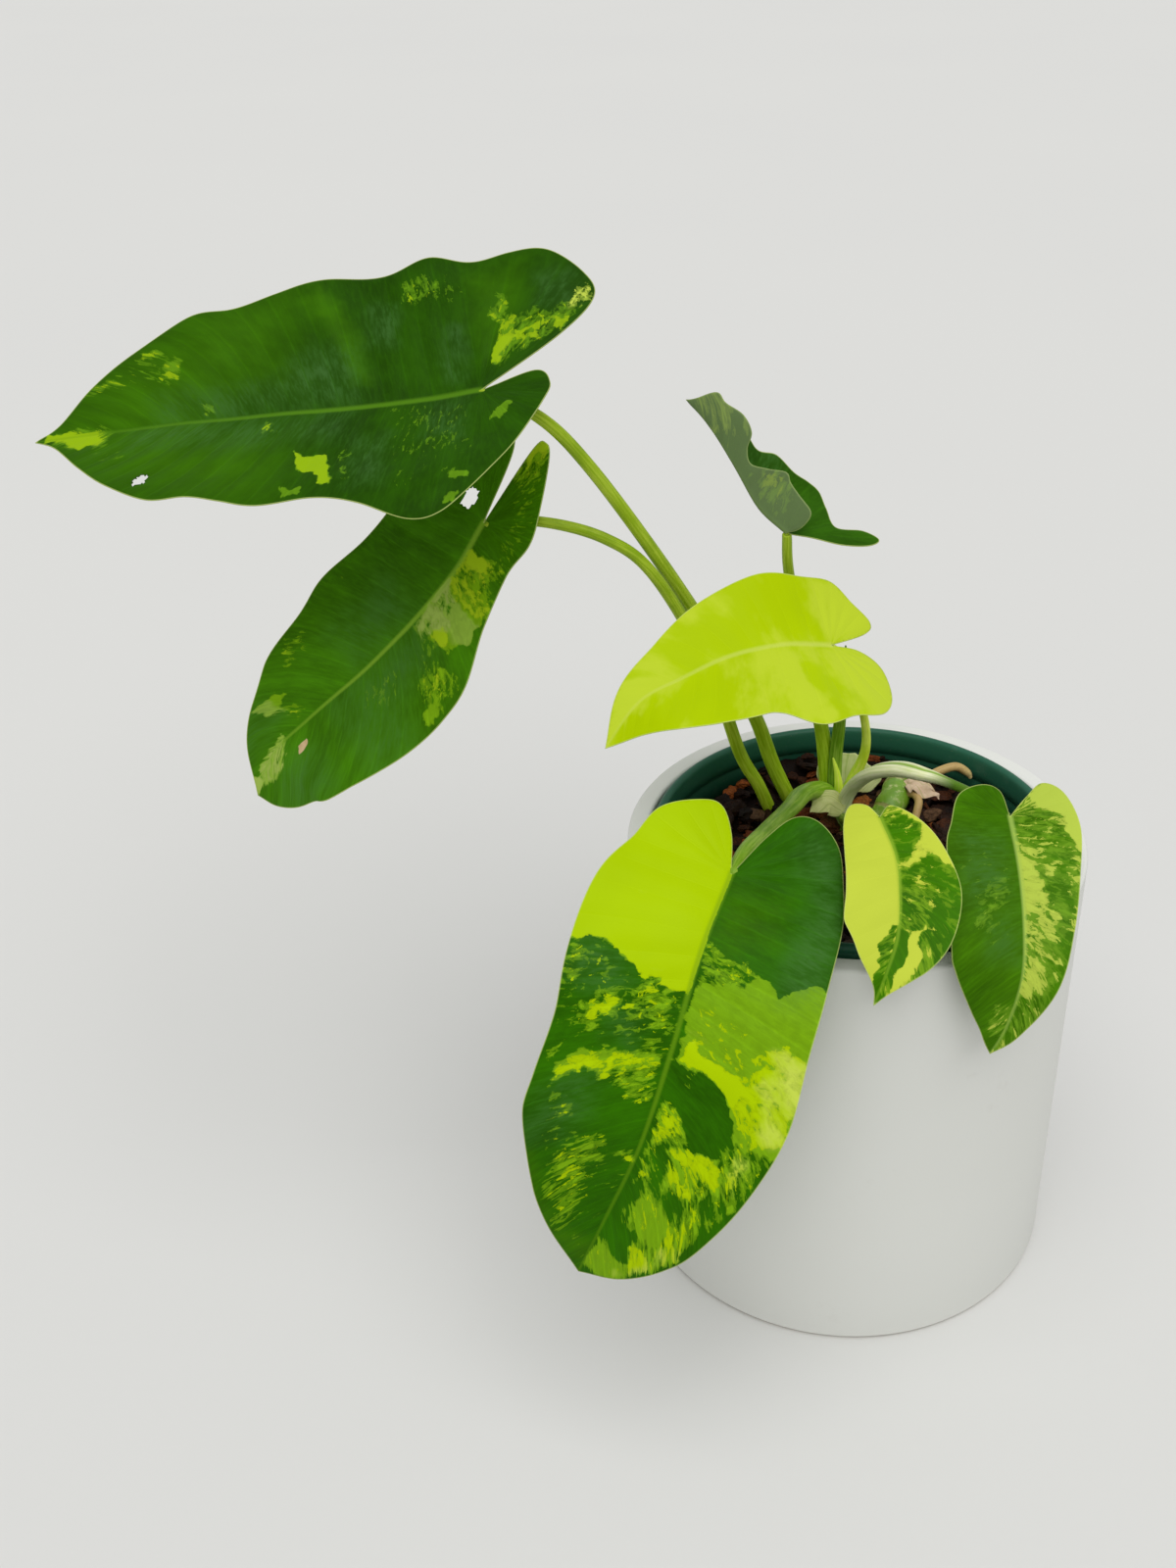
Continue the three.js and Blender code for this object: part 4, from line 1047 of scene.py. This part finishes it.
# The patches of each leaf: their tone, how soft their border is, and their outline in the plan.
# A later patch lies over an earlier one.
marks = {
    1: [
        ("warm", 26, 72, -58, 74, -20, 96, -8, 96, 8, 72, 14, 72, 50, 140, 34, 164, 6, 164, -6, 140, -34,
            110, -52),
        ("warm", 12, -16, -54, -13, -34, -4, -14, 2, -50),
        ("warm", 5, 41, -10, 46, -12, 51, -24, 58, -38, 68, -50, 62, -55, 53, -46, 46, -28),
        ("cool", 7, 8, 4, 18, 22),
        ("cool", 7, 33, 18, 44, 42),
        ("cool", 9, 48, 3, 92, 15),
        ("cool", 7, 96, 2, 128, 11),
        ("cool", 9, 44, -4, 49, -26, 64, -27, 74, -16, 96, -4),
        ("cool", 6, 31, -44, 41, -27),
        ("cool", 6, -37, -46, -24, -33),
        ("cool", 5, 6, -28, 12, -7),
        ("cool", 10, 84, -12, 118, -2),
        ("streaks", 8, 2, 4, 34, 50),
        ("flecks", 6, 6, 6, 30, 30),
        ("flecks", 3, 15, 13, 19, 22),
        ("flecks", 3, 20, 2, 34, 9),
        ("flecks", 4, 44, 20, 52, 42),
        ("marbled", 3, -5, -9, -14, -12, -26, -18, -39, -27, -36, -33, -24, -33, -8, -32),
        ("mottled", 2, -6, -11, -14, -18, -26, -22, -37, -27, -31, -30, -22, -25, -12, -25, -11, -30,
            -8, -30, -7, -20),
        ("lime", 1.5, -5, -11, -9, -15, -11, -22, -9, -22, -6, -15),
        ("mottled", 3, -43, -31, -36, -31, -36, -38, -42, -40),
        ("pale", 4, -44, -30, -34, -30, -34, -40, -44, -42),
        ("mottled", 2.5, -12, -34, -7, -30, -4, -36, -8, -41, -11, -41),
        ("mid", 2, -12, 9, -7, 18, -3, 18, -5, 12, -10, 8),
        ("mid", 2, 5, 43, 10, 46),
        ("mid", 3, 6, 54, 11, 58),
        ("flecks", 6, 4, -42, 12, -40, 28, -44, 28, -54, 14, -56, 4, -50),
        ("marbled", 4, 17, -55, 28, -44),
        ("mottled", 3, 73, 4, 78, 10),
        ("marbled", 3, 97, -9, 104, -2),
        ("flecks", 5, 110, -34, 136, -18),
        ("mottled", 3, 112, -28, 121, -20),
        ("mottled", 3, 122, -36, 129, -31),
        ("marbled", 3, 134, -20, 150, -16, 152, -19, 136, -26),
        ("lime", 1.5, 51, 40, 55, 40, 58, 33, 64, 31, 65, 21, 62, 25, 56, 25, 54, 30),
        ("mid", 2, 61, 41, 67, 44),
        ("flecks", 4, 129, 8, 141, 17),
        ("mottled", 4, 133, 1, 138, 7, 150, 7, 163, 2, 163, -1, 150, -4, 142, -3),
        ("lime", 2, 140, 4, 148, 6, 154, 2, 148, 1),
        ("lime", 1.5, 150, 1, 164, 1, 162, -1, 152, -1),
    ],
    2: [
        ("warm", 16, -38, 0, -38, 14, -10, 22, 10, 22, 14, 1),
        ("warm", 12, 54, 30, 68, 42),
        ("warm", 18, 62, -38, 100, -26),
        ("cool", 12, 50, 3, 92, 18),
        ("cool", 12, 44, -20, 76, -3),
        ("cool", 12, 74, 18, 92, 40),
        ("cool", 10, 110, 12, 112, 30, 138, 28, 140, 14, 120, 8),
        ("cool", 8, 116, -18, 134, -8),
        ("flecks", 5, -34, 4, -30, 12, -10, 22, 14, 22, 12, 12, -8, 10, -20, 2),
        ("marbled", 4, -39, 1, -38, 12, -28, 12, -18, 6, -16, 1),
        ("lime", 2, -38, 3, -36, 8, -30, 4, -32, 0),
        ("flecks", 2, 3, 18, 10, 21),
        ("marbled", 4, 10, 1, 22, 21),
        ("mottled", 3, 12, 1, 17, 14),
        ("lime", 1.5, 12, 2, 15, 11),
        ("mottled", 4, 20, 1, 20, 22, 30, 26, 34, 22, 34, 2),
        ("lime", 1.2, 21, 0, 26, 2, 35, 2, 35, -1),
        ("pale", 3, 20, -2, 28, 4, 29, 26, 38, 27, 40, 12, 49, 10, 48, 1, 36, -2),
        ("mid", 2, 28, 11, 29, 25, 37, 27, 41, 21, 41, 12),
        ("dappled", 3, 34, 1, 36, 12, 42, 22, 49, 12, 49, 2),
        ("lime", 1.5, 40.5, 11, 43.5, 19),
        ("flecks", 4, 43, 6, 48, 30, 56, 38, 64, 34, 62, 20, 50, 6),
        ("marbled", 4, 46, 24, 62, 37),
        ("mid", 3, 58, 34, 66, 40),
        ("flecks", 4, 64, 6, 82, 20),
        ("mottled", 3, 118, -1, 121, 4, 128, 8, 136, 6, 140, 1, 145, 0, 134, -3, 124, -3),
        ("pale", 5, 114, -18, 146, 9),
        ("marbled", 4, 104, -4, 112, -12, 118, -18, 124, -16, 118, -10, 110, -3),
        ("mid", 2, 108, -13, 112, -18, 122, -17, 118, -13),
        ("lime", 2, 139, -1, 146, -1, 143, -5, 139, -4),
        ("flecks", 4, 86, -30, 102, -20),
        ("marbled", 3, 94, -28, 99, -22),
        ("flecks", 4, 52, -36, 62, -31),
        ("dry", 0.8, 111.5, 6, 114.5, 6, 117.5, 10, 116, 10.6, 112, 8),
    ],
    3: [
        ("faded", 20, -30, -34, 110, 46),
        ("pale", 12, -18, 2, -18, 34, 2, 40, 4, 20, 0, 4),
        ("pale", 10, -22, -4, -20, -20, 4, -28, 4, -18, -4, -4),
        ("pale", 7, 23, 4, 30, 38),
        ("pale", 7, 68, -1, 74, 6, 84, 10, 92, 1, 104, 0, 88, -8, 70, -8),
        ("pure", 10, 8, -6, 8, -22, 32, -26, 34, -8),
        ("pure", 10, 34, -2, 60, -3, 64, -10, 50, -14, 36, -12),
        ("pure", 12, 52, 4, 60, 26, 80, 22, 96, 10, 96, 2),
        ("pure", 7, 11, 11, 20, 22),
    ],
    4: [
        ("cool", 9, -30, 20, -12, 38, 10, 44, 36, 46, 39, 34, 24, 30, 2, 33, -14, 22),
        ("warm", 14, 6, 2, 8, 20, 20, 22, 28, 10, 26, 2),
        ("marbled", 3, 26, 1, 32, 22, 41, 22, 43, 2),
        ("mid", 2, 31, 43, 37, 52, 92, 52, 90, 30, 78, 25, 74, 20, 70, 3, 46, 3, 42, 8, 41, 20, 35, 22,
            36, 27, 39, 31, 36, 37),
        ("lit", 4, 44, 3, 50, 20, 60, 34, 76, 26, 74, 20, 69, 3),
        ("dappled", 4, 54, 36, 58, 48, 86, 48, 90, 34, 78, 26, 64, 28),
        ("faded", 6, 54, 32, 58, 50, 88, 50, 87, 36, 72, 30),
        ("lime", 2, 62, 6, 69, 4, 75, 19, 78, 26, 72, 28, 68, 20, 65, 10),
        ("dark", 2.5, 71, 3, 76, 20, 79, 24, 84, 27, 89, 25, 93, 18, 95, 3),
        ("flecks", 3, 71, 3, 79, 12),
        ("mottled", 3, 84, 2, 87, 9, 96, 16, 104, 8, 116, 9, 118, 2),
        ("marbled", 4, 88, 30, 89, 46, 112, 40, 120, 32, 104, 27, 94, 27),
        ("mottled", 2, 93, 32, 97, 36, 105, 36, 104, 33, 98, 32),
        ("faded", 3, 92, 31, 108, 38),
        ("flecks", 3, 104, 3, 96, 12, 98, 26, 120, 30, 126, 20, 120, 8),
        ("dappled", 2, 96, 27, 101, 30, 108, 30, 105, 26, 104, 14, 101, 11, 98, 18),
        ("mottled", 3, 104, 13, 114, 14, 114, 23, 110, 27, 104, 22),
        ("marbled", 5, 118, 6, 121, 24, 120, 34, 140, 30, 156, 20, 152, 4),
        ("lit", 3, 120, 10, 126, 22, 137, 21, 134, 12, 127, 8),
        ("dark", 3, 137, 6, 137, 12, 151, 14, 152, 8),
        ("mottled", 3, 112, 26, 118, 31, 138, 29, 147, 23, 134, 23),
        ("dappled", 2.5, 141, 14, 143, 20, 150, 18, 150, 14),
        ("lit", 4, 149, 2, 150, 14, 158, 18, 164, 8, 162, 0),
        ("faded", 5, 128, 26, 132, 34, 146, 28, 166, 10, 166, 2, 150, 16),
        ("lime", 2, -26, 0, -28, -22, -12, -36, 4, -42, 22, -50, 40, -48, 40, -42, 38, -30, 41, -24,
            46, -19, 46, -12, 48, -6, 46, -1, 42, 0),
        ("flecks", 4, 49, 0, 47, -18, 42, -26, 39, -32, 41, -46, 72, -45, 72, 0),
        ("cool", 7, 42, -26, 40, -38, 50, -44, 54, -36, 50, -22),
        ("cool", 6, 58, -24, 70, -13),
        ("mottled", 3, 52, -22, 58, -23, 68, -30, 66, -33, 58, -31, 53, -26),
        ("marbled", 3, 47, -18, 62, -3),
        ("marbled", 3, 41, -40, 41, -44, 58, -44, 54, -38),
        ("dark", 6, 94, -3, 86, -20, 84, -30, 100, -40, 122, -40, 134, -30, 104, -22, 104, -4),
        ("cool", 8, 82, -22, 86, -34, 96, -40, 122, -38, 112, -27, 98, -22),
        ("marbled", 3, 84, -13, 90, -3),
        ("marbled", 3, 70, -2, 88, -3, 87, -10, 86, -22, 80, -24, 76, -22, 72, -12),
        ("dappled", 3, 71, -4, 73, -14, 74, -22, 77, -31, 82, -38, 94, -38, 88, -34, 84, -28, 82, -21,
            78, -18, 75, -6),
        ("marbled", 4, 70, -32, 84, -42, 90, -44, 76, -42),
        ("mottled", 3, 107, -2, 109, -7, 115, -7, 112, -1),
        ("flecks", 5, 103, -12, 108, -24, 130, -30, 152, -16, 158, -4, 128, -4),
        ("marbled", 5, 103, -13, 106, -20, 120, -27, 140, -22, 152, -12, 130, -12),
        ("flecks", 5, 92, -38, 126, -26),
        ("marbled", 3, 96, -32, 102, -27),
        ("warm", 6, 150, -1, 168, 0, 156, -18, 128, -38, 126, -34, 150, -16),
        ("streaks", 6, 112, -10, 162, 1),
    ],
    5: [
        ("lime", 1.5, -10, 0, 44, 0, 46, -3, 54, -5, 62, -4, 70, -2, 70, -24, -10, -24),
        ("marbled", 2, 42, 0.5, 46, -3, 54, -5, 62, -4, 70, -1, 70, 0.5),
        ("marbled", 3, -6, 0.3, 70, 24),
        ("flecks", 2, 1, 1, 2, 6, 6, 11, 14, 11, 17, 6, 17, 1),
        ("dappled", 2, -4, 1, 0, 6, 6, 12, 14, 12, 18, 5, 20, 1, 23, 4, 19, 14, 24, 21, 18, 23, 6, 18),
        ("lime", 2, -6, 3, 1, 9, 7, 13, 18, 13, 25, 20, 22, 24, -6, 20),
        ("flecks", 2.5, 24, 2, 21, 12, 27, 20, 40, 21, 52, 16, 50, 8, 44, 4, 34, 1),
        ("marbled", 2, 27, 3, 28, 13, 38, 13, 44, 8, 36, 4),
        ("lime", 1.2, 46, 7, 52, 8, 54, 10, 62, 8, 70, 2, 64, 4, 56, 5, 50, 5),
        ("dark", 1.2, 45, 1, 50, 4, 58, 4, 70, 1),
        ("marbled", 2, 50, 12, 53, 15, 63, 8, 54, 10),
    ],
    6: [
        ("mottled", 3, -18, 0.3, 98, 28),
        ("marbled", 6, 0, 3, 0, 19, 36, 20, 60, 15, 92, 1, 66, 4, 40, 6, 22, 8),
        ("marbled", 2, -2, 3, -1, 18, 18, 20, 21, 12, 14, 3, 2, 1),
        ("lime", 1.5, -15, 14, -14, 21, -6, 24, 2, 26, 12, 26, 17, 21, 2, 20, -1, 17, -3, 12, -8, 10),
        ("dappled", 1.5, 14, 0.5, 20, 5, 25, 12, 33, 12, 34, 6, 40, 3, 60, 1, 30, 0.5),
        ("flecks", 2, 25, 8, 29, 18, 38, 17, 34, 9),
        ("mottled", 2, 36, 4, 34, 9, 40, 14, 52, 10, 62, 6, 66, 1),
        ("flecks", 2, 44, 17, 50, 14, 62, 12, 80, 9, 80, 14, 50, 20),
        ("dappled", 2, 56, 3, 60, 8, 68, 10, 68, 2),
        ("marbled", 2.5, 68, 1, 70, 9, 80, 9, 90, 4, 92, 0),
        ("warm", 12, -14, -16, 12, -2),
        ("warm", 10, 64, -24, 82, -12),
        ("cool", 8, 10, -22, 38, -5),
        ("cool", 7, 43, -14, 57, -3),
        ("streaks", 6, 12, -20, 56, -2),
        ("marbled", 4, 25, -3, 48, -14, 46, -18, 27, -12),
        ("flecks", 3, 18, -24, 26, -16),
        ("marbled", 3, 72, -1, 74, -9, 84, -8, 92, -1),
    ],
    7: [
        ("marbled", 10, 4, 2, 28, 19),
        ("mottled", 8, 13, 8, 26, 17),
        ("pale", 10, 36, -2, 70, 18),
        ("marbled", 14, 40, 0, 70, 16),
        ("cool", 8, 26, -26, 42, -2),
    ],
}

leaf_settings = {
    1: {"gap": 1.05, "rib": 2.2, "gaps": [(117, 27, 120, 26, 123, 29, 122, 32, 118, 31)]},
    2: {"gap": 1.0, "gaps": [(-9, -8, -5, -7, -1, -8, -1, -12, -6, -12.5, -9, -11)]},
    3: {"gap": 0.85, "base": {"lime": 4.0}},
    4: {"gap": 0.95},
    5: {"gap": 0.7, "rib": 1.6},
    6: {"gap": 0.75, "rib": 1.6},
    7: {"gap": 0.75, "rib": 1.8},
}

for number, blade in blades.items():
    settings = {"seed": number * 7.0, **leaf_settings[number]}
    piece = make_leaf(f"blade_{number}", blade, leaf_skins[number - 1], marks[number], **settings)
    fit(piece, "leaf_lime" if number == 3 else "leaf_green", f"leaf_{number}")

# Papery scales: three dry leaf sheaths, still attached round the crown. They are paper thin and
# crumpled, with fine veins in a fan: one pale green, one grey-green, one a pinkish scrap.


def paper_finish(name, *colours):
    """Dry papery skin in two shades, with veins of a third that spread from its foot."""
    shade, light, vein = (paint(*colour) for colour in colours)
    paper = Finish(name)
    way, off, _ = paper.split(paper.read("plan"))
    spread = paper.calc("DIVIDE", off, paper.plus(way, 7))
    rays = paper.grain(paper.join(paper.times(spread, 14), 0, 0), 4, 0.7)
    colour = paper.blend(paper.grain(paper.where(4), 4, 0.6), shade, light)
    paper.give("Base Color", paper.blend(paper.step(rays, 0.5, 0.62, 0, 0.7), colour, vein))
    paper.sheen(0.6, 0.25)
    paper.bump(rays, 0.2, 0.7)
    return paper


scales = {
    "bud_scale_1": (
        Blade(
            [[-3, 48, -14], [-3, 51, -6], [-1, 53, 2]], [0, -0.8, 0.5], [10, 10],
            [[0, 9], [7, 14], [13, 10]], [[0, -9], [7, -14], [13, -10]],
        ),
        paper_finish("green_paper", (210, 218, 140), (240, 242, 196), (176, 196, 98)),
        0.35,
    ),
    "bud_scale_2": (
        Blade(
            [[-4, 24, -9], [-11, 23, -4], [-18, 18, -7]], [0, -0.6, 0.8], [-20, -20],
            [[1, 4], [7, 6], [13, 4]], [[1, -4], [7, -6], [13, -4]],
        ),
        paper_finish("grey_green_paper", (182, 190, 104), (222, 224, 160), (148, 168, 70)),
        0.4,
    ),
    "dried_scale": (
        Blade(
            [[20, 42, -4], [27, 38, -4], [35, 34, -7]], [0, -0.4, 0.9], [-25, 20],
            [[1, 3], [6, 5], [11, 3]], [[1, -4], [7, -5], [12, -3]],
        ),
        paper_finish("pink_scrap", (178, 146, 116), (228, 206, 178), (168, 160, 104)),
        2.2,
    ),
}
for node, (blade, paper, crumple) in scales.items():
    piece = make_leaf(node + "_skin", blade, paper, [], gap=0.5, half=0.18, rib=0.3, crumple=crumple)
    fit(piece, "papery_scale", node)

# Studio: a plain pale floor, a large soft light from above and the camera of the picture.
# These show the plant and aren't part of it.
FLOOR_HALF = 20000.0

floor_paint = Finish("pale_floor")
floor_drift = floor_paint.grain(floor_paint.where(900), 2, 0.5)
floor_paint.give("Base Color", floor_paint.blend(floor_drift, paint(211, 211, 209), paint(214, 214, 211)))
floor_paint.sheen(0.9, 0.1)
corners = [[-1, -1], [1, -1], [1, 1], [-1, 1]]
corners = [[x * FLOOR_HALF, y * FLOOR_HALF, 0] for x, y in corners]
floor = mesh_piece("floor", corners, [(0, 1, 2, 3)], floor_paint)

sun = bpy.data.lights.new("soft_light", "SUN")
sun.energy = 1.85
sun.angle = math.radians(60)
sun_object = bpy.data.objects.new("soft_light", sun)
sun_object.rotation_euler = Vector((0.12, -0.4, 0.91)).to_track_quat("Z", "Y").to_euler()
bpy.context.scene.collection.objects.link(sun_object)

world = bpy.data.worlds.new("pale_room")
world.use_nodes = True
background = world.node_tree.nodes["Background"]
background.inputs["Color"].default_value = (1.0, 1.0, 0.995, 1)
background.inputs["Strength"].default_value = 0.56
bpy.context.scene.world = world
bpy.context.scene.view_settings.view_transform = "Standard"

# The camera's place in metres and its turns, found from the rims and the sides of the pots.
CAMERA_PLACE = Vector((0, -0.537, 0.545))
CAMERA_YAW = math.radians(-11.25)
CAMERA_PITCH = math.radians(31.6)
CAMERA_ROLL = math.radians(-2.8)
FOCAL_PIXELS = 1620.0
PICTURE_HEIGHT = 1600.0
SENSOR = 36.0

forward = Vector((
    math.sin(CAMERA_YAW) * math.cos(CAMERA_PITCH),
    math.cos(CAMERA_YAW) * math.cos(CAMERA_PITCH),
    -math.sin(CAMERA_PITCH),
))
level = Vector((math.cos(CAMERA_YAW), -math.sin(CAMERA_YAW), 0))
upright = level.cross(forward)
right = math.cos(CAMERA_ROLL) * level + math.sin(CAMERA_ROLL) * upright
up = math.cos(CAMERA_ROLL) * upright - math.sin(CAMERA_ROLL) * level
camera = bpy.data.cameras.new("camera")
camera.sensor_width = SENSOR
camera.lens = FOCAL_PIXELS / PICTURE_HEIGHT * SENSOR
camera_object = bpy.data.objects.new("camera", camera)
axes = Matrix((right, up, -forward)).transposed().to_4x4()
camera_object.matrix_world = Matrix.Translation(CAMERA_PLACE) @ axes
bpy.context.scene.collection.objects.link(camera_object)
bpy.context.scene.camera = camera_object
